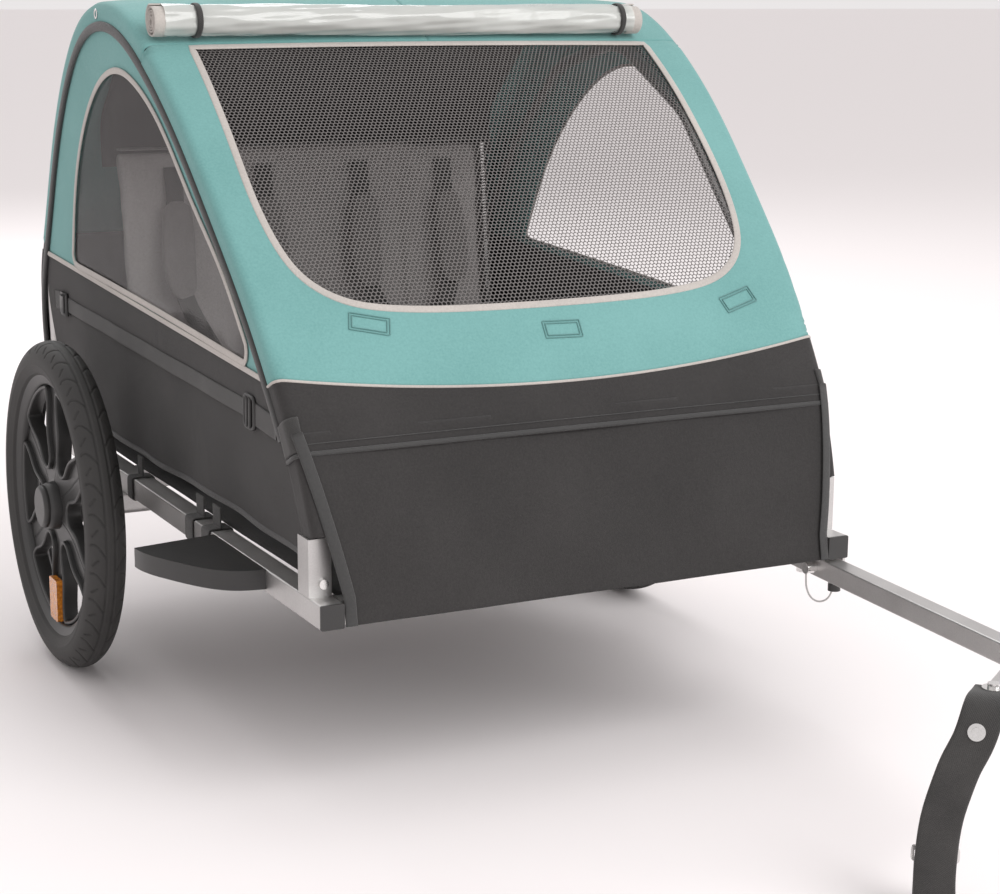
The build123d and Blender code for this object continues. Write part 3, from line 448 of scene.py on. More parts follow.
def smooth_curve(points, count):
    """A natural cubic spline through the points, by chord length, sampled evenly in its parameter."""
    points = np.asarray(points, float)
    knots = np.concatenate([[0], np.cumsum(np.linalg.norm(np.diff(points, axis=0), axis=1))])
    n, h = len(points), np.diff(knots)
    system, right = np.eye(n), np.zeros_like(points)
    for i in range(1, n - 1):
        system[i, i - 1:i + 2] = h[i - 1], 2 * (h[i - 1] + h[i]), h[i]
        right[i] = 6 * ((points[i + 1] - points[i]) / h[i] - (points[i] - points[i - 1]) / h[i - 1])
    bend = np.linalg.solve(system, right)
    t = np.linspace(0, knots[-1], count)
    k = np.clip(np.searchsorted(knots, t, side="right") - 1, 0, n - 2)
    a, b, step = (knots[k + 1] - t)[:, None], (t - knots[k])[:, None], h[k][:, None]
    return (bend[k] * a ** 3 + bend[k + 1] * b ** 3) / (6 * step) \
        + (points[k] / step - bend[k] * step / 6) * a + (points[k + 1] / step - bend[k + 1] * step / 6) * b


def ring_section(width, height, count=12, power=2.6):
    """A rounded flat section (a superellipse), as offsets across and out."""
    angle = np.linspace(0, math.tau, count, endpoint=False)
    c, s = np.cos(angle), np.sin(angle)
    return np.stack([np.sign(c) * abs(c) ** (2 / power) * width / 2,
                     np.sign(s) * abs(s) ** (2 / power) * height / 2], -1)


def carry(name, path, out, section, finish, closed=False, scale=None):
    """A section carried along a path. `out` is the direction of the section's second axis at each point."""
    path, out = np.asarray(path, float), np.asarray(out, float)
    if out.ndim == 1:
        out = np.tile(out, (len(path), 1))
    if closed:
        along = unit(np.roll(path, -1, 0) - np.roll(path, 1, 0))
    else:
        along = unit(np.gradient(path, axis=0))
    across = unit(np.cross(along, out))
    out = np.cross(across, along)
    size = np.ones(len(path)) if scale is None else np.asarray(scale, float)
    points = path[:, None] + (across[:, None] * section[None, :, :1] + out[:, None] * section[None, :, 1:]) \
        * size[:, None, None]
    rows, cols = points.shape[:2]
    faces = grid_faces(rows, cols, wrap_rows=closed, wrap_cols=True).tolist()
    if not closed:
        faces.append(list(range(cols)))
        faces.append(list(range((rows - 1) * cols, rows * cols))[::-1])
    lengths = np.concatenate([[0], np.cumsum(np.linalg.norm(np.diff(path, axis=0), axis=1))])
    round_it = np.concatenate([[0], np.cumsum(np.linalg.norm(np.diff(section, axis=0), axis=1))])
    uvs = np.stack(np.meshgrid(round_it, lengths), -1).reshape(-1, 2)
    mesh = bpy.data.meshes.new(name)
    mesh.from_pydata(points.reshape(-1, 3).tolist(), [], [f[::-1] for f in faces])
    layer = mesh.uv_layers.new(name="UVMap")
    corners = np.empty(len(mesh.loops), dtype=np.int32)
    mesh.loops.foreach_get("vertex_index", corners)
    layer.data.foreach_set("uv", uvs[corners].astype(np.float32).ravel())
    mesh.polygons.foreach_set("use_smooth", [len(p.vertices) == 4 for p in mesh.polygons])
    mesh.materials.append(finish)
    piece = bpy.data.objects.new(name, mesh)
    bpy.context.scene.collection.objects.link(piece)
    return piece


def settle(piece, body, slot, *replaced):
    """Rides the piece on its body and hides the CAD nodes it stands for; its slot is not used."""
    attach(piece, body)
    if replaced:
        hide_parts(*replaced)
    return piece


def repaint(finish, *names):
    """Puts a finish on CAD nodes that stay visible."""
    for name in names:
        nodes[name].data.materials.clear()
        nodes[name].data.materials.append(finish)


# %% [markdown]
# ## The cabin's outline
# Seen from the side, the fabric runs from the front hem over the top to the rear hem in one curve. Seen from the
# front, the two sides lean outward, because the hoops do. The same few points as in the design give the curve,
# and a table of it turns any distance along the cloth into a place and a direction.

# %% Outline table
outline = np.array([
    (-635, 207), (-622, 270), (-606, 322), (-585, 372), (-548, 432), (-486, 513), (-405, 597),
    (-312, 684), (-212, 755), (-135, 790), (-50, 800), (35, 779), (125, 716), (205, 626),
    (282, 514), (340, 415), (352, 345), (347, 270), (336, 207)]) * mm
curve = smooth_curve(outline, 1201)
curve_s = np.concatenate([[0], np.cumsum(np.linalg.norm(np.diff(curve, axis=0), axis=1))])
curve_out = unit(np.gradient(curve, axis=0))[:, ::-1] * (-1, 1)
apex = int(curve[:, 1].argmax())
hoop_foot_x, hoop_lean, hoop_foot_z = 299 * mm, 0.062, 246 * mm
cloth_gap = 10 * mm
band, corner = 28 * mm, 9 * mm
print("outline length", round(float(curve_s[-1]), 3))


def at(s):
    """Place (y, z) and outward direction (y, z) at a distance s along the outline."""
    s = np.asarray(s, float)
    place = np.stack([np.interp(s, curve_s, curve[:, k]) for k in (0, 1)], -1)
    out = np.stack([np.interp(s, curve_s, curve_out[:, k]) for k in (0, 1)], -1)
    return place, unit(out)


def side_at(z, inset=0.0):
    """Distance of the side cloth from the centre plane at a height."""
    return hoop_foot_x + hoop_lean * (z - hoop_foot_z) + cloth_gap - inset


def front_s(z):
    """Distance along the outline where its front part has a height z."""
    return np.interp(z, curve[:apex, 1], curve_s[:apex])


def rear_s(z):
    """Distance along the outline where its rear part has a height z."""
    return np.interp(z, curve[apex:, 1][::-1], curve_s[apex:][::-1])


def s_of_y(y):
    """Distance along the outline where its front part has a place y."""
    return np.interp(y, curve[:apex, 0], curve_s[:apex])


def half_width(s):
    """Half the cabin's width at a distance along the outline."""
    return side_at(at(s)[0][..., 1])


def edge_q(s):
    """Half the cloth's width across, over the rounded corner and down the side band to the piping."""
    return half_width(s) - corner + math.pi * corner / 2 + band - corner


def crown(s):
    """How far the cloth stands proud of the outline at the centre plane: most over the top."""
    return 1 * mm + 13 * mm * np.exp(-((s - curve_s[apex] - 0.04) / 0.15) ** 2)


def wrap(q, s, lift=0.0):
    """The wrapped surface: q runs across from the centre plane over the corner and down the side band."""
    q, s = np.broadcast_arrays(np.asarray(q, float), np.asarray(s, float))
    place, out = at(s)
    width = side_at(place[..., 1])
    flat = width - corner
    size = np.abs(q)
    turn = np.clip((size - flat) / corner, 0, math.pi / 2)
    x = np.minimum(size, flat) + corner * np.sin(turn)
    deep = corner * (1 - np.cos(turn)) + np.maximum(size - flat - corner * math.pi / 2, 0)
    bow = crown(s) * np.clip(1 - (np.minimum(size, flat) / flat) ** 2, 0, 1)
    y = place[..., 0] + out[..., 0] * (bow - deep + lift * np.cos(turn))
    z = place[..., 1] + out[..., 1] * (bow - deep + lift * np.cos(turn))
    x = x + side_at(z) - width + lift * np.sin(turn)
    return np.stack([np.sign(q) * x, y, z], -1)


def wrap_grid(name, s_low, s_high, q_low, q_high, finish, rows=60, cols=90, lift=0.0, thick=0.8 * mm):
    """A patch of the wrapped surface. Each limit is a number or a function of the other coordinate's share."""
    share_s, share_q = np.linspace(0, 1, rows)[:, None], np.linspace(0, 1, cols)[None, :]
    s0 = s_low(share_q) if callable(s_low) else s_low
    s1 = s_high(share_q) if callable(s_high) else s_high
    s = s0 + (s1 - s0) * share_s
    low = q_low(s) if callable(q_low) else q_low
    high = q_high(s) if callable(q_high) else q_high
    q = low + (high - low) * share_q
    q, s = np.broadcast_arrays(q, s)
    return lay_grid(name, wrap(q, s, lift), finish, np.stack([q, s], -1).reshape(-1, 2), thick=thick)


# %% [markdown]
# ## Front cover
# The cover is one curved sheet with a window cut in it. A ring of cloth is laid between two closed lines, the
# window's edge and the cover's edge, so that both are smooth. The teal cloth ends at a line that dips towards
# the middle. Below it hangs a black flap with a sewn hem.

# %% Lines on the cover
hinge_s = s_of_y(joints["front_cover_open"]["pos_m"][1])
hem_s = front_s(370 * mm)
window_half = np.array([(0, 491), (90, 492), (178, 497), (234, 510), (267, 535), (282, 570), (288, 613),
                        (289, 660), (289, 705), (288, 752)]) * mm


def seam_s(x):
    """The line between teal and black cloth: lowest at the middle."""
    return front_s(417 * mm + 26 * mm * (np.clip(np.abs(x) / 0.31, 0, 1.1)) ** 2)


def window_loop(count=240, grow=0.0):
    """The window's edge as (q, s), from the top left round the bottom to the top right, then back along the top."""
    half = smooth_curve(window_half, 120)
    q, s = half[:, 0], front_s(half[:, 1])
    side = np.stack([q, s], -1)
    full = np.concatenate([(side * (-1, 1))[::-1], side[1:]])
    top = np.stack([np.linspace(full[-1, 0], full[0, 0], 62)[1:-1], np.full(60, full[-1, 1])], -1)
    loop = np.concatenate([full, top])
    if grow:
        along = unit(np.roll(loop, -1, 0) - np.roll(loop, 1, 0))
        loop = loop + np.stack([along[:, 1], -along[:, 0]], -1) * grow
    return resample(loop, count)


def resample(loop, count):
    """Even points round a closed line."""
    closed = np.concatenate([loop, loop[:1]])
    far = np.concatenate([[0], np.cumsum(np.linalg.norm(np.diff(closed, axis=0), axis=1))])
    t = np.linspace(0, far[-1], count, endpoint=False)
    return np.stack([np.interp(t, far, closed[:, k]) for k in range(closed.shape[1])], -1)


def cover_rim(count=240):
    """The teal border's outer edge as (q, s), in the same order as the window's edge."""
    s = np.linspace(hinge_s - 0.5 * mm, seam_s(0.32), 70)
    left = np.stack([-edge_q(s), s], -1)
    share = np.linspace(-1, 1, 100)
    s_end = seam_s(0.32)
    q = share * edge_q(s_end)
    bottom = np.stack([q, seam_s(share * 0.32)], -1)[1:-1]
    right = np.stack([edge_q(s), s], -1)[::-1]
    top = np.stack([np.linspace(right[-1, 0], left[0, 0], 62)[1:-1], np.full(60, hinge_s - 0.5 * mm)], -1)
    return np.concatenate([left, bottom, right, top])


def match_by_angle(inner, outer, count):
    """Both loops sampled where rays from the inner loop's middle cross them, so that no quad twists."""
    middle = (inner.max(0) + inner.min(0)) / 2
    loops = []
    for loop in (inner, outer):
        rel = (loop - middle) / (0.30, 0.17)
        angle = np.unwrap(np.arctan2(rel[:, 1], rel[:, 0]))
        order = np.argsort(angle)
        angle, pts = angle[order], loop[order]
        t = np.linspace(angle[0], angle[0] + math.tau, count, endpoint=False)
        a = np.concatenate([angle - math.tau, angle, angle + math.tau])
        p = np.concatenate([pts, pts, pts])
        loops.append((t, a, p))
    t = loops[0][0]
    return [np.stack([np.interp(t, a, p[:, k]) for k in (0, 1)], -1) for _, a, p in loops]


ring_in, ring_out = match_by_angle(window_loop(480), resample(cover_rim(), 480), 320)


# %% Teal border, mesh and flap
def ring_sheet(name, inner, outer, finish, place, steps=22, thick=0.8 * mm):
    """A sheet between two closed lines of equal length, laid on a surface by `place`."""
    share = np.linspace(0, 1, steps)[:, None, None]
    flat = inner[None] + (outer - inner)[None] * share
    points = place(flat[..., 0], flat[..., 1])
    return lay_grid(name, points, finish, flat.reshape(-1, 2), wrap_cols=True, thick=thick)


def on_cover(q, s):
    """The cover's cloth lies on the wrapped surface itself."""
    return wrap(q, s)


cover_teal = ring_sheet("cover_teal_border", ring_in, ring_out, TEAL, on_cover)
settle(cover_teal, "cover", "teal_fabric", "front_cover")


def inner_fill(name, loop, finish, place, steps=30, thick=0.0):
    """A sheet that fills a closed line, by rings that shrink to its middle."""
    middle = (loop.max(0) + loop.min(0)) / 2
    share = np.linspace(0.0, 1, steps)[:, None, None]
    flat = middle + (loop - middle)[None] * share
    points = place(flat[..., 0], flat[..., 1])
    return lay_grid(name, points, finish, flat.reshape(-1, 2), wrap_cols=True, thick=thick)


def on_screen(q, s):
    """The mesh lies just behind the teal border."""
    return wrap(q, s, -1.5 * mm)


screen = inner_fill("mesh_screen_cloth", ring_in + unit(ring_in - ring_in.mean(0)) * 4 * mm, MESH, on_screen)
settle(screen, "cover", "mesh", "mesh_screen")

flap = wrap_grid("cover_black_flap", hem_s, lambda t: seam_s((2 * t - 1) * 0.32) - 0.2 * mm,
                 lambda s: -edge_q(s), lambda s: edge_q(s), BLACK, rows=26, cols=140, lift=1.2 * mm)
settle(flap, "cover", "black_fabric")


# %% Bindings and piping on the cover
def surface_path(q, s, lift):
    """Points on the wrapped surface and its outward direction there."""
    base, raised = wrap(q, s, lift), wrap(q, s, lift + 1 * mm)
    return base, unit(raised - base + 1e-12)


path, out = surface_path(ring_in[:, 0], ring_in[:, 1], 0.7 * mm)
window_tape = carry("window_binding", path, out, ring_section(8.5 * mm, 2.4 * mm), BINDING, closed=True)
settle(window_tape, "cover", "teal_fabric")

q = np.linspace(-1, 1, 200)
s = seam_s(q * 0.32)
path, out = surface_path(q * edge_q(s), s, 1.0 * mm)
seam_tape = carry("seam_piping", path, out, ring_section(3.2 * mm, 2.6 * mm, 8), BINDING)
settle(seam_tape, "cover", "teal_fabric")

for height, name in ((3.0 * mm, "hem_edge"), (13.0 * mm, "hem_stitch")):
    s = np.full(200, hem_s + height)
    path, out = surface_path(q * edge_q(s), s, 1.6 * mm)
    size = ring_section(5 * mm, 3.2 * mm, 8) if name == "hem_edge" else ring_section(1.2 * mm, 1.2 * mm, 6)
    settle(carry(name, path, out, size, PIPING), "cover", "black_fabric")

# %% [markdown]
# ## Roof, rear and lower front
# The roof is two halves that meet over the middle.
# The black lower panels are tucked behind the flap and reach down to the front and rear tubes.

# %% Roof halves
rear_seam_s = rear_s(492 * mm)
for side, name in ((-1, "right"), (1, "left")):
    low, high = ((lambda s: -edge_q(s)), 0.0) if side < 0 else (0.0, (lambda s: edge_q(s)))
    roof = wrap_grid(f"roof_{name}", hinge_s + 0.3 * mm, rear_seam_s, low, high, TEAL, rows=110, cols=60)
    if side > 0:
        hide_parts("canopy_roof")
    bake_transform(roof)
    rear = wrap_grid(f"rear_{name}", rear_seam_s - 2 * mm, rear_s(212 * mm), low, high, BLACK, rows=40, cols=60,
                     lift=-1.2 * mm)
    if side > 0:
        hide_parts("rear_panel")
    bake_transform(rear)


# %% Lower front panel
def lower_width(z):
    """Half the lower panel's width: it narrows towards the floor, between the rails."""
    return 287 * mm + 27 * mm * np.clip((z - 0.236) / 0.135, 0, 1.2)


rows, cols = 44, 120
z = np.linspace(0.2085, 0.392, rows)[:, None]
share = np.linspace(-1, 1, cols)[None, :]
place, out = at(front_s(z[:, 0]))
ripple = 1.2 * mm * np.sin(share * 9 + z * 30) * (1 - share ** 2)
dent = 1.6 * mm - 6.5 * mm * (1 - share ** 2) * np.sin(np.clip((z - 0.2085) / 0.18, 0, 1) * math.pi) + ripple
points = np.stack(np.broadcast_arrays(share * lower_width(z), place[:, :1] + out[:, :1] * dent,
                                      place[:, 1:] + out[:, 1:] * dent), -1)
lower_front = lay_grid("front_lower_cloth", points, BLACK, thick=0.8 * mm)
settle(lower_front, "root", "black_fabric", "front_lower_panel")
for side in (-1, 1):
    edge = points[:, 0 if side < 0 else -1] + (side * -5 * mm, -1.2 * mm, 0)
    label = "right" if side < 0 else "left"
    settle(carry(f"front_edge_tape_{label}", edge, np.array((side * 0.2, -1.0, 0.1)),
                 ring_section(12 * mm, 2.0 * mm), PIPING), "root", "black_fabric")

# %% [markdown]
# ## The two sides
# Each side is flat cloth stretched on its hoop: a teal panel round a clear window, and a black skirt below the
# belt seam. A black piping arch covers the seam with the front and roof, and grey tape binds the window.


# %% Lines on a side
def belt_z(y):
    """The belt seam's height: a straight line that rises to the rear."""
    return (433 + (y / mm + 560) / 920 * 43) * mm


def arch(inset, count=260, z_min=None):
    """The outline moved inward by an inset, as (y, z), from the front to the rear."""
    s = np.linspace(curve_s[0], curve_s[-1], count)
    place, out = at(s)
    line = place - out * np.asarray(inset)[..., None] if np.ndim(inset) else place - out * inset
    if z_min is not None:
        line = line[line[:, 1] > z_min(line[:, 0])]
    return line


window_side = np.array([(152, 482), (104, 583), (27, 670), (-50, 714), (-112, 724), (-170, 712), (-240, 676),
                        (-330, 598), (-410, 530), (-466, 462)]) * mm


def side_window_loop(count):
    """The side window's edge: the curve over its top and a line just above the belt seam."""
    top = smooth_curve(window_side, 160)
    y = np.linspace(top[-1, 0], top[0, 0], 90)[1:-1]
    base = np.stack([y, belt_z(y) + 6 * mm + 2 * mm * np.sin((y - y[0]) / (y[-1] - y[0]) * math.pi)], -1)
    return resample(np.concatenate([top, base]), count)


def side_rim(count):
    """The side panel's outer edge: the piping's arch, closed along the belt seam."""
    top = arch(band - 2 * mm, 400, lambda y: belt_z(y))
    y = np.linspace(top[-1, 0], top[0, 0], 120)[1:-1]
    return resample(np.concatenate([top, np.stack([y, belt_z(y)], -1)]), count)


def by_angle(loop, middle, count):
    """A closed line sampled where even rays from a middle cross it: both coordinates are read at each angle."""
    rel = loop - middle
    angle = np.arctan2(rel[:, 1], rel[:, 0])
    order = np.argsort(angle)
    a, p = angle[order], loop[order]
    t = np.linspace(-math.pi, math.pi, count, endpoint=False)
    a3, p3 = np.concatenate([a - math.tau, a, a + math.tau]), np.concatenate([p, p, p])
    return np.stack([np.interp(t, a3, p3[:, k]) for k in (0, 1)], -1)


side_middle = np.array((-0.12, 0.53))
side_in = by_angle(side_window_loop(600)[::-1], side_middle, 300)
side_out = by_angle(side_rim(900)[::-1], side_middle, 300)


def on_side(side, outset=-1.5 * mm):
    """Lays (y, z) on a side's leaning plane, a little in or out of it."""
    def place(y, z):
        puff = 2.5 * mm * np.sin(y * 21 + z * 13) * np.cos(z * 17)
        return np.stack([side * (side_at(z) + outset + 0 * puff), y, z], -1)
    return place


def skirt_place(side, y, z, outset=0.0):
    """The black skirt: it tucks in towards its lower edge and has slack folds."""
    low = np.clip((belt_z(y) - z) / 0.19, 0, 1)
    tuck = 11 * mm * low ** 1.6
    folds = 1.6 * mm * low * np.sin(y * 38 + z * 22) + 1.2 * mm * low * np.sin(y * 15 - z * 40 + 1.0)
    return np.stack([side * (side_at(z) - 1.5 * mm - tuck + folds + outset), y, z], -1)


# %% Side panels
for side, name in ((-1, "right"), (1, "left")):
    body = f"{name}_side_frame"
    flip = side > 0
    share = np.linspace(0, 1, 16)[:, None, None]
    flat = side_in[None] + (side_out - side_in)[None] * share
    panel = lay_grid(f"{name}_side_teal", on_side(side)(flat[..., 0], flat[..., 1]), TEAL, flat.reshape(-1, 2),
                     flip=flip, wrap_cols=True, thick=0.8 * mm)
    settle(panel, body, "teal_fabric", f"{name}_canopy_side")

    middle = side_in.mean(0)
    share = np.linspace(0, 1, 24)[:, None, None]
    flat = middle + (side_in - middle)[None] * share * 1.01
    bulge = 5 * mm * (1 - share[..., 0] ** 2)
    points = on_side(side, -2.0 * mm)(flat[..., 0], flat[..., 1])
    points[..., 0] += side * bulge
    pane = lay_grid(f"{name}_window_pane", points, SMOKE, flat.reshape(-1, 2), flip=flip, wrap_cols=True)
    settle(pane, body, "clear_vinyl", f"{name}_side_window")

    out_x = np.array((side * 1.0, 0, 0))
    tape = np.concatenate([on_side(side, 0.2 * mm)(side_in[:, 0], side_in[:, 1])])
    settle(carry(f"{name}_window_tape", tape, out_x, ring_section(7.5 * mm, 2.2 * mm), BINDING, closed=True),
           body, "teal_fabric")

    belt_ends = side_rim(900)[:, 0]
    y = np.linspace(belt_ends.min() + 1 * mm, belt_ends.max() - 1 * mm, 150)
    belt = skirt_place(side, y, belt_z(y), 1.8 * mm)
    settle(carry(f"{name}_belt_tape", belt, out_x, ring_section(6.5 * mm, 2.0 * mm), BINDING),
           body, "teal_fabric")

    line = arch(band, 420, lambda y: np.where(y < 0, 0.377, 0.285))
    piping = np.stack([side * (side_at(line[:, 1]) + 0.8 * mm), line[:, 0], line[:, 1]], -1)
    settle(carry(f"{name}_piping", piping, out_x, ring_section(11.5 * mm, 6.0 * mm, 14, 2.2), PIPING),
           body, "black_fabric")

# %% Skirts
for side, name in ((-1, "right"), (1, "left")):
    body = f"{name}_side_frame"
    rows, cols = 46, 190
    edge = arch(3 * mm, 900)
    front = edge[:len(edge) // 2]
    rear = edge[len(edge) // 2:]
    low_z = 262 * mm
    y_share = np.linspace(0, 1, cols)[None, :]
    t = np.linspace(0, 1, rows)[:, None]
    guess = -0.57 + 0.9 * y_share
    bottom = low_z + 6 * mm * np.sin(y_share * 7) * 0.4
    z = bottom + (belt_z(guess) - bottom) * t
    order_f, order_r = np.argsort(front[:, 1]), np.argsort(rear[:, 1])
    y_front = np.interp(z, front[order_f, 1], front[order_f, 0])
    notch = np.clip((0.30 - z) / 0.03, 0, 1)
    y_front = y_front + (np.maximum(y_front, -0.572) - y_front) * notch
    y_rear = np.interp(z, rear[order_r, 1], rear[order_r, 0])
    y_rear = y_rear + (np.minimum(y_rear, 0.297) - y_rear) * notch
    y = y_front + (y_rear - y_front) * y_share
    z = bottom + (belt_z(y) - bottom) * t
    points = skirt_place(side, y, z)
    skirt = lay_grid(f"{name}_skirt_cloth", points, BLACK, np.stack([y, z], -1).reshape(-1, 2), flip=side < 0,
                     thick=0.8 * mm)
    settle(skirt, body, "black_fabric", f"{name}_side_skirt")
    corner_cloth = wrap_grid(f"{name}_skirt_corner", front_s(0.296), front_s(0.398),
                             lambda s: side * (edge_q(s) - 40 * mm), lambda s: side * (edge_q(s) + 2 * mm),
                             BLACK, rows=24, cols=26, lift=-0.6 * mm)
    settle(corner_cloth, body, "black_fabric")
    hem = points[0] + (side * 0.6 * mm, 0, 2 * mm)
    settle(carry(f"{name}_skirt_hem", hem, np.array((side * 1.0, 0, 0)), ring_section(7 * mm, 2.6 * mm), PIPING),
           body, "black_fabric")

# %% [markdown]
# ## Wheels
# The wheel is one moulding with six wide spokes. Every window between them is a closed line, and a rib stands all
# round it. The web is the sheet between that line and the sector's border, laid six times. The tyre is a circle
# turned round the axle, pushed in wherever a tread cut runs.

# %% Wheel sizes
low_corner, high_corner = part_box("right_tyre")
wheel_r = (high_corner[2] - low_corner[2]) / 2
tyre_r = (high_corner[0] - low_corner[0]) / 2
wheel_x = (high_corner[0] + low_corner[0]) / 2
spokes = 6


def turned(name, profile, finish, turns=240, push=None):
    """A profile of (x, r) points turned about the X axis; push(angle, row) moves points towards the axle."""
    profile = np.asarray(profile, float)
    angle = np.linspace(0, math.tau, turns, endpoint=False)[:, None]
    x = profile[None, :, 0] + 0 * angle
    r = profile[None, :, 1] + 0 * angle
    if push is not None:
        x, r = push(angle, x, r)
    points = np.stack([x, r * np.cos(angle), r * np.sin(angle)], -1)
    rows, cols = points.shape[:2]
    uvs = np.stack(np.broadcast_arrays(np.linspace(0, 0.2, cols)[None, :], angle * wheel_r), -1).reshape(-1, 2)
    return link_mesh(name, points.reshape(-1, 3), grid_faces(rows, cols, True, True), finish, uvs)


def tread(angle, x, r):
    """Cuts 1.8 mm deep: two circles near the tread's edges, and curved hooks on both shoulders."""
    middle = wheel_r - tyre_r
    v = np.arctan2(x, r - middle)
    across = np.abs(v)
    lap = angle * 34 / math.tau + np.where(v > 0, 0.5, 0.0)
    hook = np.abs((lap + 0.42 * np.sin(across * 2.3 - 0.6)) % 1.0 - 0.5)
    fork = np.abs((lap + 0.25 - 0.55 * across) % 1.0 - 0.5)
    cut = np.clip((0.045 - hook) / 0.03, 0, 1) * (across > 0.28) * (across < 1.12)
    cut = np.maximum(cut, np.clip((0.035 - fork) / 0.025, 0, 1) * (across > 0.62) * (across < 0.98))
    cut = np.maximum(cut, np.clip((0.045 - np.abs(across - 0.24)) / 0.03, 0, 1))
    ridge = np.exp(-((across - 1.75) / 0.05) ** 2) + np.exp(-((across - 2.25) / 0.06) ** 2)
    depth = 1.9 * mm * cut - 0.9 * mm * ridge
    size = tyre_r - depth - 0.2 * mm
    return size * np.sin(v), middle + size * np.cos(v)


around = np.linspace(-2.62, 2.62, 84)
tyre_profile = np.stack([tyre_r * np.sin(around), wheel_r - tyre_r + tyre_r * np.cos(around)], -1)
rim_profile = np.array([(-15, 167), (-16.5, 165), (-16.5, 161), (-14, 157), (-11.5, 150), (-9, 147.2), (0, 146.5),
                        (9, 147.2), (11.5, 150), (14, 157), (16.5, 161), (16.5, 165), (15, 167), (12, 166),
                        (10, 160), (-10, 160), (-12, 166)]) * mm


def window_line(count=90):
    """One window between two spokes, in polar form: wide at the rim, a deep curve at the hub."""
    outer, inner, near = 144 * mm, 62 * mm, 15.5 * mm
    half_far = outer * math.sin(math.radians(30)) - 17.5 * mm
    side = smooth_curve([(inner + 8 * mm, near + 3 * mm), (90 * mm, 25 * mm), (120 * mm, half_far - 7 * mm),
                         (136 * mm, half_far - 1 * mm)], 16)
    hub_arc = [(inner + 8 * mm - 22 * mm * math.cos(a), (near + 3 * mm) * math.sin(a))
               for a in np.linspace(-math.pi / 2, math.pi / 2, 15)][1:-1]
    rim_arc = [(math.sqrt(max(outer ** 2 - w ** 2, 0)), w)
               for w in np.linspace(half_far - 6 * mm, -half_far + 6 * mm, 15)]
    line = np.array([tuple(p) for p in side] + rim_arc + [(r, -w) for r, w in side[::-1]]
                    + [tuple(p) for p in hub_arc])
    line = resample(line, 240)
    for _ in range(30):
        line = (np.roll(line, 1, 0) + 2 * line + np.roll(line, -1, 0)) / 4
    return resample(line, count)


def sector_line(count=90):
    """A sector's border: two straight sides at 30 degrees, an arc at the rim and one at the hub."""
    turn = math.radians(180 / spokes)
    rim = [(148 * mm * math.cos(a), 148 * mm * math.sin(a)) for a in np.linspace(-turn, turn, 30)]
    hub = [(24 * mm * math.cos(a), 24 * mm * math.sin(a)) for a in np.linspace(turn, -turn, 16)]
    out = [(r * math.cos(turn), r * math.sin(turn)) for r in np.linspace(148, 24, 22)[1:-1] * mm]
    back = [(r * math.cos(turn), -r * math.sin(turn)) for r in np.linspace(24, 148, 22)[1:-1] * mm]
    return resample(np.array(rim + out + hub + back), count)


def web_mesh(name, outward, finish):
    """Six copies of the sheet between a window's line and its sector's border, as one mesh with a wall."""
    middle = np.array((100 * mm, 0.0))
    inner, outer = by_angle(window_line(400), middle, 120), by_angle(sector_line(600), middle, 120)
    share = np.linspace(0, 1, 7)[:, None, None]
    flat = inner[None] + (outer - inner)[None] * share
    rise = outward * (1.5 * mm + 5.0 * mm * np.clip((60 * mm - flat[..., 0]) / (34 * mm), 0, 1) ** 2)
    verts, faces = [], []
    for k in range(spokes):
        a = math.tau * k / spokes
        y = flat[..., 0] * math.cos(a) - flat[..., 1] * math.sin(a)
        z = flat[..., 0] * math.sin(a) + flat[..., 1] * math.cos(a)
        verts.append(np.stack([rise, y, z], -1).reshape(-1, 3))
        faces.append(grid_faces(7, 120, wrap_cols=True) + k * 7 * 120)
    verts, faces = np.concatenate(verts), np.concatenate(faces)
    if outward < 0:
        faces = faces[:, ::-1]
    piece = link_mesh(name, verts, faces, finish, verts[:, 1:].copy())
    wall = piece.modifiers.new("wall", "SOLIDIFY")
    wall.thickness, wall.offset = 5 * mm, 0
    return piece


# %% Both wheels
for side, name in ((-1, "right"), (1, "left")):
    body = f"{name}_wheel"
    hub = Vector((side * abs(wheel_x), 0, wheel_r))

    def place_piece(piece):
        """Moves a wheel piece from the origin to its axle, in its mesh."""
        piece.data.transform(Matrix.Translation(hub))
        return piece

    settle(place_piece(turned(f"{name}_tyre_tread", tyre_profile, TYRE, 1020, tread)), body, "tyre_rubber",
           f"{name}_tyre")
    settle(place_piece(turned(f"{name}_rim", rim_profile, PLASTIC, 180)), body, "moulded_black",
           f"{name}_wheel_moulding")
    settle(place_piece(web_mesh(f"{name}_spoke_web", side, PLASTIC)), body, "moulded_black")
    line = window_line(96)
    for k in range(spokes):
        a = math.tau * k / spokes
        y = line[:, 0] * math.cos(a) - line[:, 1] * math.sin(a)
        z = line[:, 0] * math.sin(a) + line[:, 1] * math.cos(a)
        rib = carry(f"{name}_spoke_rib_{k}", np.stack([0 * y + side * 1.0 * mm, y, z], -1),
                    np.array((1.0, 0, 0)), ring_section(4.6 * mm, 19 * mm, 12, 5.0), PLASTIC, closed=True)
        settle(place_piece(rib), body, "moulded_black")
    barrel = np.array([(-22, 12), (-22, 24), (-18, 27.5), (-8, 29.5), (8, 29.5), (17, 28.5), (21.8, 26.5),
                       (21.8, 12)]) * mm
    barrel[:, 0] *= side
    settle(place_piece(turned(f"{name}_hub_barrel", barrel, PLASTIC, 96)), body, "moulded_black")
print("wheels made")

# %% [markdown]
# ## Inside the cabin
# The seat and its back are padded, so each is puffed up by a short cloth simulation with pressure inside it,
# and held along its stitched lines. A black sheet closes the cabin above the seat back.

# %% Padded seat
seat_low, seat_high = (np.array(c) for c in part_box("seat_base"))
back_low, back_high = (np.array(c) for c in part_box("seat_back"))


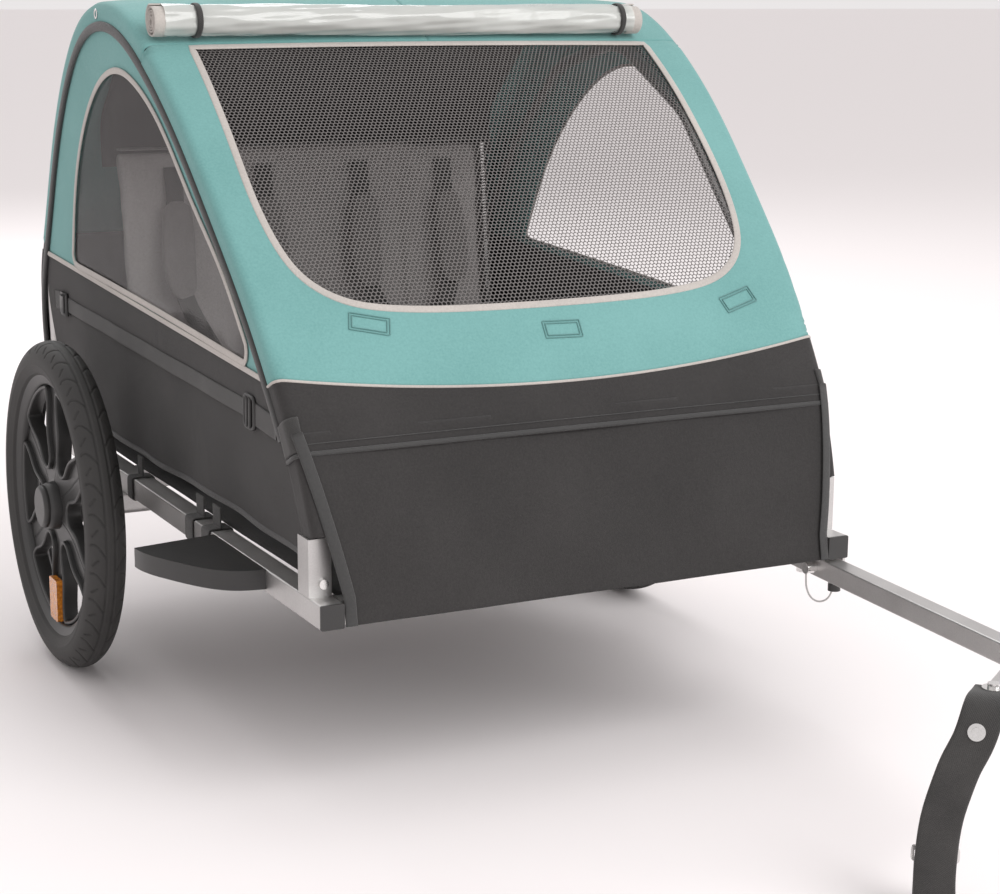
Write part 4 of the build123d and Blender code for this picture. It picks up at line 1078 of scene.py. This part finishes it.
def puffed(node, name, finish, voxel=6 * mm, pressure=4.0, cap=7 * mm, seams=()):
    """A copy of a CAD cushion, evened out, blown up by cloth pressure and held along its seams (planes x = value)."""
    source = nodes[node]
    mesh = bpy.data.meshes.new_from_object(source)
    piece = bpy.data.objects.new(name, mesh)
    bpy.context.scene.collection.objects.link(piece)
    even = piece.modifiers.new("even", "REMESH")
    even.mode, even.voxel_size = "VOXEL", voxel
    graph = bpy.context.evaluated_depsgraph_get()
    piece.data = bpy.data.meshes.new_from_object(piece.evaluated_get(graph))
    piece.modifiers.clear()
    piece.data.materials.clear()
    piece.data.materials.append(finish)
    rest = read_points(piece.data)
    held = piece.vertex_groups.new(name="seams")
    on_seam = np.zeros(len(rest), bool)
    for seam in seams:
        on_seam |= np.abs(rest[:, 0] - seam) < voxel * 0.8
    held.add(np.flatnonzero(on_seam).tolist(), 1.0, "REPLACE")
    cloth = piece.modifiers.new("cloth", "CLOTH")
    cloth.settings.use_pressure = True
    cloth.settings.uniform_pressure_force = pressure
    cloth.settings.vertex_group_mass = "seams"
    cloth.settings.effector_weights.gravity = 0
    cloth.point_cache.frame_start, cloth.point_cache.frame_end = 1, 20
    for number in range(1, 21):
        bpy.context.scene.frame_set(number)
    graph = bpy.context.evaluated_depsgraph_get()
    moved = read_points(piece.evaluated_get(graph).data) - rest
    piece.modifiers.clear()
    far = np.linalg.norm(moved, axis=1, keepdims=True)
    rest = rest + moved * np.minimum(1, cap / np.maximum(far, 1e-9))
    piece.data.vertices.foreach_set("co", rest.astype(np.float32).ravel())
    piece.data.polygons.foreach_set("use_smooth", [True] * len(piece.data.polygons))
    layer = piece.data.uv_layers.new(name="UVMap")
    corners = np.empty(len(piece.data.loops), dtype=np.int32)
    piece.data.loops.foreach_get("vertex_index", corners)
    layer.data.foreach_set("uv", (rest[corners][:, [0, 2]] + rest[corners][:, [1, 1]]).astype(np.float32).ravel())
    finer = piece.modifiers.new("finer", "SUBSURF")
    finer.levels = finer.render_levels = 1
    return piece


def read_points(mesh):
    """A mesh's points as rows of x, y, z."""
    points = np.empty(len(mesh.vertices) * 3, dtype=np.float32)
    mesh.vertices.foreach_get("co", points)
    return points.reshape(-1, 3).astype(float)


def press_flat(piece, slot, *replaced, keep=0.03):
    """Rides the piece on the root body, hides the CAD nodes it stands for and gives it a mesh of its own."""
    settle(piece, "root", slot, *replaced)
    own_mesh(piece)


cushion = puffed("seat_base", "seat_cushion", SEAT, seams=(0.0,))
press_flat(cushion, "seat_fabric", "seat_base", keep=0.06)
backrest = puffed("seat_back", "seat_backrest", GREY, cap=5 * mm, seams=(-0.13, 0.0, 0.13))
press_flat(backrest, "seat_fabric", "seat_back")


def seat_face(z):
    """The y of the seat back's front face at a height."""
    share = (z - back_low[2]) / (back_high[2] - back_low[2])
    depth = back_high[1] - back_low[1]
    run = depth - 14 * mm
    return back_low[1] + run * share


# %% Sheet above the seat back
rows, cols = 40, 70
share_x = np.linspace(-1, 1, cols)[None, :]
rise = arch(14 * mm, 600)
rise = rise[(rise[:, 0] > -0.185) & (rise[:, 0] < 0.140) & (rise[:, 1] > 0.6)][::-1]
start = [(back_high[1] - 6 * mm, back_high[2] - 22 * mm), (back_high[1] - 4 * mm, back_high[2] + 40 * mm)]
lining = smooth_curve(np.concatenate([start, rise[::24]]), rows)
x = share_x * (277 * mm) + 0 * lining[:, :1]
slack = 4 * mm * np.sin(x * 23 + lining[:, 1:] * 31) * np.sin(x * 9)
y, z = lining[:, :1] + slack, lining[:, 1:] + 0 * x
headwall = lay_grid("headrest_sheet", np.stack([x, y, z], -1), BLACK, thick=1.0 * mm)
press_flat(headwall, "black_fabric")
top_edge = np.stack([np.linspace(-0.262, 0.262, 40), np.full(40, back_low[1] + (back_high[1] - back_low[1]) * 0.5),
                     np.full(40, back_high[2] + 1 * mm)], -1)
press_flat(carry("backrest_top_tape", top_edge, np.array((0, 0, 1.0)), ring_section(22 * mm, 3 * mm), SEAT),
           "seat_fabric")
z = np.linspace(back_low[2] + 60 * mm, back_high[2] - 4 * mm, 60)
zip_line = np.stack([np.full(60, 0.252), seat_face(z) - 7 * mm, z], -1)
press_flat(carry("zip_tape", zip_line, np.array((0, -1.0, 0)), ring_section(15 * mm, 2 * mm), BLACK), "black_fabric")


def zip_teeth(name, line, pitch=4.2 * mm):
    """Small bars along a tape: the eight corners of one box, put at even steps along the line."""
    count = int(np.linalg.norm(line[-1] - line[0]) / pitch)
    share = ((np.arange(count) + 0.5) / count)[:, None]
    centres = line[0] + (line[-1] - line[0]) * share
    box = np.array([(dx, dy, dz) for dx in (-2.4, 2.4) for dy in (-2.6, -0.4) for dz in (-1.2, 1.2)]) * mm
    sides = np.array([(0, 1, 3, 2), (4, 6, 7, 5), (0, 4, 5, 1), (2, 3, 7, 6), (0, 2, 6, 4), (1, 5, 7, 3)])
    verts = (centres[:, None] + box[None]).reshape(-1, 3)
    faces = (sides[None] + 8 * np.arange(count)[:, None, None]).reshape(-1, 4)
    return link_mesh(name, verts, faces, SILVER, smooth=False)


press_flat(zip_teeth("zip_teeth", zip_line), "zinc_steel")
print("sheet above the seat back", np.round(lining[-1], 3), "zip", round(float(np.ptp(zip_line[:, 2])), 3), "m")

# %% [markdown]
# ## Harnesses
# Each child has two shoulder straps with pads, a crotch strap and a centre buckle. A strap is a flat rounded
# section carried down the seat back and forward over the cushion.


# %% Harness straps
def shoulder_strap(name, x, end_x, replaced=()):
    """A strap down the seat back that swings in to the buckle, and a pad over its upper part."""
    z = np.array([0.59, 0.52, 0.44, 0.37, 0.325])
    y = seat_face(z) - np.array([9, 14, 22, 34, 46]) * mm
    path = smooth_curve(np.stack([np.array([x, x, x * 1.0, x + (end_x - x) * 0.55, end_x]), y, z], -1), 40)
    press_flat(carry(name, path, np.array((0, -1.0, 0.2)), ring_section(24 * mm, 1.8 * mm), STRAP),
               "black_webbing", *replaced)
    pad = path[6:24]
    puff = np.sin(np.linspace(0, math.pi, len(pad))) ** 0.25
    press_flat(carry(f"{name}_pad", pad + (0, -6 * mm, 0), np.array((0, -1.0, 0.2)),
                     ring_section(44 * mm, 15 * mm, 20, 3.2), SEAT, scale=0.35 + 0.65 * puff), "seat_fabric")


for child in (-1, 1):
    middle = child * 130 * mm
    for hand in (-1, 1):
        label = f"{'right' if child < 0 else 'left'}_seat_strap_{'a' if hand < 0 else 'b'}"
        first = child < 0 and hand < 0
        shoulder_strap(label, middle + hand * 62 * mm, middle + hand * 12 * mm, ("seat_harnesses",) if first else ())
    crotch = smooth_curve([(middle, 0.0, seat_high[2] + 6 * mm), (middle, 0.035, seat_high[2] + 14 * mm),
                           (middle, 0.066, 0.322)], 24)
    side_label = "right" if child < 0 else "left"
    press_flat(carry(f"{side_label}_crotch_strap", crotch, np.array((0, -0.8, 1.0)),
                     ring_section(24 * mm, 1.8 * mm), STRAP), "black_webbing")
    disc = np.stack([np.full(2, middle), np.array((0.056, 0.070)), np.array((0.317, 0.323))], -1)
    press_flat(carry(f"{side_label}_harness_buckle", disc, np.array((0, 0.2, 1.0)),
                     ring_section(46 * mm, 46 * mm, 28, 2.6), PLASTIC), "moulded_black")

# %% [markdown]
# ## Rolled rain cover
# The clear cover is rolled up above the front window. Its outside is a tube with creases along it, and a grey
# bound edge winds into a spiral at both ends. Two elastic loops hold it.

# %% Roll
roll_low, roll_high = (np.array(c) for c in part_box("rain_cover_roll"))
roll_y, roll_z, roll_r = -207 * mm, 782 * mm, 17.2 * mm
rows, cols = 260, 72
along = np.linspace(roll_low[0] + 12 * mm, roll_high[0] - 12 * mm, rows)[:, None]
turn = np.linspace(0, math.tau, cols, endpoint=False)[None, :]
crease = 0.55 * np.sin(3 * turn + 14 * along) + 0.4 * np.sin(7 * turn - 31 * along + 2 * np.sin(9 * along)) \
    + 0.25 * np.sin(12 * turn + 55 * along)
pinch = 1.2 * np.exp(-((along + 0.279) / 0.008) ** 2) + 1.2 * np.exp(-((along - 0.255) / 0.008) ** 2)
r = roll_r + (crease - pinch) * mm
points = np.stack([along + 0 * turn, roll_y + r * np.cos(turn), roll_z + r * np.sin(turn)], -1)
roll = lay_grid("rain_cover_tube", points, CLEAR, wrap_cols=True, flip=True)
settle(roll, "root", "clear_vinyl", "rain_cover_roll")
core_r = 13.5 * mm + 0.5 * mm * np.sin(4 * turn + 22 * along)
points = np.stack([along + 0 * turn, roll_y + core_r * np.cos(turn), roll_z + core_r * np.sin(turn)], -1)
settle(lay_grid("rain_cover_inner_layers", points, GREY, wrap_cols=True, flip=True), "root", "clear_vinyl")
for end, x_end in (("right", roll_low[0]), ("left", roll_high[0])):
    sign = -1 if end == "right" else 1
    a = np.linspace(0, 4.2 * math.tau, 220)
    spiral_r = 3.2 * mm + (roll_r - 2.6 * mm) * a / a[-1] + 0.5 * mm * np.sin(a * 1.7)
    path = np.stack([np.full_like(a, x_end - sign * 9 * mm), roll_y + spiral_r * np.cos(a),
                     roll_z + spiral_r * np.sin(a)], -1)
    out = np.stack([0 * a, np.cos(a), np.sin(a)], -1)
    settle(carry(f"roll_{end}_bound_edge", path, out, ring_section(18 * mm, 1.9 * mm, 10, 4.0), BINDING), "root",
           "teal_fabric")
for number, x_tie in enumerate((-279 * mm, 255 * mm)):
    a = np.linspace(0, math.tau, 48, endpoint=False)
    path = np.stack([np.full_like(a, x_tie), roll_y + 17.9 * mm * np.cos(a), roll_z + 17.9 * mm * np.sin(a)], -1)
    out = np.stack([0 * a, np.cos(a), np.sin(a)], -1)
    tie = carry(f"elastic_loop_{number}", path, out, ring_section(7 * mm, 2.4 * mm, 10), STRAP, closed=True)
    settle(tie, "root", "black_webbing", *(("roll_ties",) if number == 0 else ()))

# %% [markdown]
# ## Straps, buckles and stitched patches
# The side strap lies on the skirt between a cam buckle and a ladder lock. Each buckle is a rounded frame with
# bars. The front cover has three stitched patches, and a box of stitches holds the strap's front end.


# %% Side straps
def ribbon(name, path, out, width, thick, finish):
    """Webbing: a flat section with nearly square corners carried along a path."""
    return carry(name, path, out, ring_section(width, thick, 14, 5.0), finish)


def bar(name, start, end, out, width, thick, finish):
    """A straight bar with a rounded section between two points."""
    path = np.linspace(np.asarray(start, float), np.asarray(end, float), 4)
    return carry(name, path, np.asarray(out, float), ring_section(width, thick, 12, 3.5), finish)


def loop_frame(name, centre, across, up, out, size, wire, finish):
    """A rounded rectangle of wire: a superellipse path in the plane of two directions."""
    a = np.linspace(0, math.tau, 40, endpoint=False)
    c, s = np.cos(a), np.sin(a)
    u = np.sign(c) * np.abs(c) ** 0.35 * size[0] / 2
    v = np.sign(s) * np.abs(s) ** 0.35 * size[1] / 2
    path = np.asarray(centre) + u[:, None] * np.asarray(across) + v[:, None] * np.asarray(up)
    return carry(name, path, np.asarray(out, float), ring_section(wire, wire, 10, 2.4), finish, closed=True)


for side, name in ((-1, "right"), (1, "left")):
    body = f"{name}_side_frame"
    out = np.array((side * 1.0, 0, 0))
    y = np.linspace(-0.452, 0.206, 90)
    z = np.interp(y, (-0.478, 0.23), (0.3945, 0.4125))
    path = skirt_place(side, y, z, 2.0 * mm)
    settle(ribbon(f"{name}_side_webbing", path, out, 19 * mm, 1.4 * mm, STRAP), body, "black_webbing",
           f"{name}_side_strap")
    y = np.linspace(-0.535, -0.47, 12)
    path = skirt_place(side, y, np.interp(y, (-0.535, -0.47), (0.390, 0.394)), 2.2 * mm)
    settle(ribbon(f"{name}_strap_front_end", path, out, 24 * mm, 1.6 * mm, STRAP), body, "black_webbing")
    y = np.linspace(0.232, 0.262, 8)
    path = skirt_place(side, y, np.full(8, 0.413), 2.2 * mm)
    settle(ribbon(f"{name}_strap_rear_end", path, out, 24 * mm, 1.6 * mm, STRAP), body, "black_webbing")
    centre = skirt_place(side, np.array([-0.461]), np.array([0.394]), 3.2 * mm)[0]
    along, up = np.array((0, 1.0, 0.02)), np.array((0, -0.02, 1.0))
    lock = loop_frame(f"{name}_ladder_lock", centre, along, up, out, (28 * mm, 33 * mm), 4.2 * mm, PLASTIC)
    settle(lock, body, "moulded_black", f"{name}_strap_buckles")
    for number, shift in enumerate((-4 * mm, 5 * mm)):
        spot = centre + along * shift + out * 1.2 * mm
        settle(bar(f"{name}_ladder_bar_{number}", spot - up * 16 * mm, spot + up * 16 * mm, out, 5 * mm, 3.4 * mm,
                   PLASTIC), body, "moulded_black")
    centre = skirt_place(side, np.array([0.216]), np.array([0.412]), 3.4 * mm)[0]
    settle(bar(f"{name}_cam_buckle", centre - up * 15 * mm, centre + up * 15 * mm, out, 27 * mm, 5.4 * mm, PLASTIC),
           body, "moulded_black")
    settle(bar(f"{name}_cam_lever", centre - up * 11 * mm + out * 3 * mm, centre + up * 11 * mm + out * 3 * mm, out,
               17 * mm, 3.4 * mm, PLASTIC), body, "moulded_black")


# %% Patches and grommets
def stitched_box(name, corners, body, place, finish, size=1.5 * mm):
    """A closed run of stitches through corner points on a surface."""
    loop = resample(np.array(corners, float), 60)
    path, out = place(loop[:, 0], loop[:, 1])
    return settle(carry(name, path, out, ring_section(size, size * 0.8, 6, 2.0), finish, closed=True), body,
                  "teal_fabric")


def cover_spot(q, s):
    """A path on the cover, just proud of the cloth."""
    return surface_path(q, s, 1.3 * mm)


THREAD = cloth("teal_thread", (0.07, 0.19, 0.185), (0.10, 0.24, 0.23), grain=0.0, crease=0.0)
patches = ((-0.206, 0.484, 0.25), (0.011, 0.466, 0.03), (0.240, 0.482, -0.3))
for number, (x_patch, z_patch, tilt) in enumerate(patches):
    s_patch = front_s(z_patch)
    for ring, grow in enumerate((0.0, 3.0 * mm)):
        box = []
        for u, v in ((-22, -10), (22, -10), (22, 10), (-22, 10)):
            u, v = u * mm - math.copysign(grow, u), v * mm - math.copysign(grow, v)
            box.append((x_patch + u * math.cos(tilt) + v * math.sin(tilt),
                        s_patch + v * math.cos(tilt) - u * math.sin(tilt)))
        stitched_box(f"cover_patch_{number}_{ring}", box, "cover", cover_spot, THREAD)

for side, name in ((-1, "right"), (1, "left")):
    s_patch = front_s(0.392)
    q = side * (edge_q(s_patch) - 19 * mm)
    u, v = np.meshgrid(np.linspace(-15, 15, 12) * mm, np.linspace(-19, 17, 12) * mm)
    patch = lay_grid(f"{name}_stitched_patch", wrap(q + u, s_patch + v, 3.2 * mm), STRAP, thick=1.2 * mm)
    settle(patch, "cover", "black_webbing")
    y_eye, z_eye = -46 * mm, 786 * mm
    a = np.linspace(0, math.tau, 28, endpoint=False)
    path = np.stack([np.full_like(a, side * (side_at(z_eye) + 0.6 * mm)), y_eye + 4.6 * mm * np.cos(a),
                     z_eye + 4.6 * mm * np.sin(a)], -1)
    settle(carry(f"{name}_grommet", path, np.array((side * 1.0, 0, 0)), ring_section(2.6 * mm, 1.6 * mm, 8), BRIGHT,
                 closed=True), f"{name}_side_frame", "bright_steel")

# %% [markdown]
# ## Floor cloth and rail loops
# The floor is black cloth laced between the rails, so it sags a little in the middle. Webbing loops pass round
# each rail and go up to the skirt: a flat section carried round a rounded square.


# %% Floor cloth
floor_low, floor_high = (np.array(c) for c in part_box("floor_panel"))
x = np.linspace(floor_low[0] + 1 * mm, floor_high[0] - 1 * mm, 70)[None, :]
y = np.linspace(floor_low[1] + 1 * mm, floor_high[1] - 1 * mm, 90)[:, None]
share_x, share_y = x / floor_high[0], (y - floor_low[1]) / (floor_high[1] - floor_low[1])
sag = 3.5 * mm * (1 - share_x ** 2) * np.sin(math.pi * share_y) + 0.6 * mm * np.sin(41 * x + 17 * y)
points = np.stack(np.broadcast_arrays(x, y, floor_high[2] - 1.2 * mm - sag), -1)
settle(lay_grid("floor_cloth", points, BLACK, thick=1.2 * mm), "root", "black_fabric", "floor_panel")

# %% Rail loops
loop_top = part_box("rail_straps")[1][2]
a = np.linspace(0, math.tau, 64, endpoint=False)
c, s = np.cos(a), np.sin(a)
for side, name in ((-1, "right"), (1, "left")):
    rail_low, rail_high = (np.array(corner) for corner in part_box(f"{name}_side_rail"))
    middle, half = (rail_low + rail_high) / 2, (rail_high - rail_low)[2] / 2 + 1.4 * mm
    rail_x = side * (max(abs(rail_low[0]), abs(rail_high[0])) - (rail_high - rail_low)[2] / 2)
    u, v = np.sign(c) * np.abs(c) ** 0.25 * half, np.sign(s) * np.abs(s) ** 0.25 * half
    normal = np.stack([np.sign(u) * np.abs(u / half) ** 7, 0 * u, np.sign(v) * np.abs(v / half) ** 7], -1)
    for number, (y_loop, width) in enumerate(((-250, 26), (-305, 26), (-32, 20))):
        path = np.stack([rail_x + u, np.full_like(u, y_loop * mm), middle[2] + v], -1)
        loop = carry(f"{name}_rail_loop_{number}", path, unit(normal), ring_section(width * mm, 1.8 * mm, 12, 5.0),
                     STRAP, closed=True)
        settle(loop, "root", "black_webbing", *(("rail_straps",) if side < 0 and number == 0 else ()))
        rise = np.stack([np.full(8, rail_x), np.full(8, y_loop * mm),
                         np.linspace(middle[2] + half, loop_top, 8)], -1)
        settle(carry(f"{name}_rail_tail_{number}", rise, np.array((side * 1.0, 0, 0)),
                     ring_section(width * mm, 1.8 * mm, 12, 5.0), STRAP), "root", "black_webbing")

# %% [markdown]
# ## Hitch strap and lanyards
# The strap is webbing 38 mm wide, bolted on the arm's end. It falls to the ground, turns back and ends at its
# ring. The two lanyards are coated wires on the same points as in the design, drawn as curves.

# %% Hitch strap
bolt_low, bolt_high = (np.array(c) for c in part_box("strap_bolt"))
bolt = np.array(((bolt_low[0] + bolt_high[0]) / 2, (bolt_low[1] + bolt_high[1]) / 2, 193.8 * mm))
strap_route = np.array([(4.5, 3.4, 13), (0, 0, 13), (-14, -11, 13), (-24, -18, 8), (-32, -22, -4), (-40, -22, -24),
                        (-48, -19, -42), (-54, -16, -62), (-60, -11, -94), (-62, -8, -130), (-59, -4, -165),
                        (-57.5, -3, -178)]) * mm + bolt
strap_turn = np.array([(3.0, 6.5), (8.0, 2.4), (13.0, 1.9), (18.0, 2.4), (23.0, 6.5), (25.0, 16.0), (25.5, 30.0),
                       (25.5, 42.0)]) * mm
across, backward = np.array((0.8, -0.6, 0)), np.array((0.6, 0.8, 0))
low_turn = strap_route[-1] * (1, 1, 0) + strap_turn[:, :1] * backward + strap_turn[:, 1:] * (0, 0, 1)
path = smooth_curve(np.concatenate([strap_route, low_turn]), 220)
out = np.cross(across, unit(np.gradient(path, axis=0)))
webbing_strap = ribbon("hitch_safety_strap", path, out, 38 * mm, 2.9 * mm, STRAP)
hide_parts("safety_strap")
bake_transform(webbing_strap)

link_route = np.array([(-4, -3, 0), (-12, -9, 0), (-20, -14, -5), (-27, -16, -16), (-34, -14, -36), (-39, -9, -60),
                       (-44, -3, -90), (-45, 2, -118)]) * mm + bolt
path = smooth_curve(link_route, 90)
link = carry("hitch_flex_link", path, np.cross(across, unit(np.gradient(path, axis=0))),
             ring_section(17 * mm, 12 * mm, 20, 3.4), ELASTIC)
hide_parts("flex_coupler")
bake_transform(link)


# %% Lanyards
def lanyard(name, node, route, body):
    """A coated wire as a NURBS curve that starts and ends on its first and last points."""
    data = bpy.data.curves.new(name, "CURVE")
    data.dimensions, data.bevel_depth, data.bevel_resolution = "3D", 1.0 * mm, 3
    line = data.splines.new("NURBS")
    line.points.add(len(route) - 1)
    line.points.foreach_set("co", [value for point in route for value in (*(c * mm for c in point), 1.0)])
    line.order_u, line.use_endpoint_u = 3, True
    line.resolution_u = 16
    data.materials.append(WIRE)
    piece = bpy.data.objects.new(name, data)
    bpy.context.scene.collection.objects.link(piece)
    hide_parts(node)
    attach(piece, body)
    return piece


WIRE = moulded("coated_wire", (0.42, 0.41, 0.40), (0.55, 0.54, 0.53), 0.3, bump=0.02)
lock_route = [(276, -612, 187), (275.4, -612.8, 178), (276, -614.8, 168.5), (279, -618.5, 160.5),
              (284.5, -623.6, 156.5), (290.2, -629, 158.5), (293.8, -633, 164), (295, -634.8, 170.6)]
pin_route = [(165.4, -1060, 176.6), (165.8, -1058.6, 166), (165.2, -1057, 154), (163.8, -1055.4, 141),
             (161.4, -1053.6, 128), (156.4, -1051.2, 116), (148, -1048.6, 107.5), (138.4, -1046, 103.5),
             (129.6, -1043.8, 98.5), (124.2, -1042.7, 91.5), (123.2, -1042.6, 84.6)]


def route_length(route):
    """The length of a route given in millimetres, in metres."""
    return float(np.linalg.norm(np.diff(np.array(route), axis=0), axis=1).sum() * mm)


lanyard("lock_pin_wire", "lock_pin_lanyard", lock_route, "lock_pin")
lanyard("hitch_pin_wire", "hitch_pin_lanyard", pin_route, "hitch")
print("lanyards", round(route_length(lock_route), 4), round(route_length(pin_route), 4), "m")

# %% [markdown]
# ## Parts kept from the design
# Tubes, brackets, bolts and plastic parts have their right shape already, so they only get a finish.

# %% CAD nodes that stay visible
repaint(SILVER, "left_side_rail", "right_side_rail", "cross_tubes", "hoop_brackets", "left_hoop", "right_hoop",
        "axle_receivers", "roof_crossbar", "arm_tube", "arm_front_tube", "arm_bracket",
        "left_axle", "right_axle", "hitch_tongue")
repaint(BRIGHT, "hoop_pivot_bolts", "elbow_plates_and_rivets", "arm_pivot_bolt", "arm_lock_pin", "strap_bolt",
        "strap_hardware", "hitch_pin", "left_wheel_bearings", "right_wheel_bearings")
repaint(PLASTIC, "rail_end_caps", "lanyard_anchor", "wheel_guards", "left_hub_cap", "right_hub_cap")
repaint(AMBER, "left_reflector", "right_reflector")
print("nodes kept", sum(not node.hide_render for node in nodes.values()))

# %% [markdown]
# ## Cut sizes of the cloth
# Each cloth panel was cut flat before it was sewn and stretched on the hoops.


# %% Cloth panels
def cut_of(piece):
    """Width, length and area of the flat pattern: the UV map's extent, and the shoelace area of its faces."""
    uv = np.empty(len(piece.data.loops) * 2, dtype=np.float32)
    piece.data.uv_layers[0].data.foreach_get("uv", uv)
    uv = uv.reshape(-1, 2).astype(float)
    starts = np.empty(len(piece.data.polygons), dtype=np.int32)
    piece.data.polygons.foreach_get("loop_start", starts)
    corners = [uv[starts + k] for k in range(4)]
    area = sum(a[:, 0] * b[:, 1] - b[:, 0] * a[:, 1] for a, b in zip(corners, corners[1:] + corners[:1]))
    return (*np.ptp(uv, axis=0).tolist(), float(np.abs(area).sum() / 2))


for name in ("headrest_sheet", "cover_black_flap", "cover_teal_border", "mesh_screen_cloth", "front_lower_cloth",
             "right_skirt_cloth", "left_skirt_cloth", "right_side_teal", "left_side_teal", "roof_right", "roof_left",
             "rear_right", "rear_left", "floor_cloth"):
    panel = bpy.data.objects[name]
    width, length, area = cut_of(panel)
    print(f"{name}: cut {width:.3f} x {length:.3f} m, {area:.4f} m2")
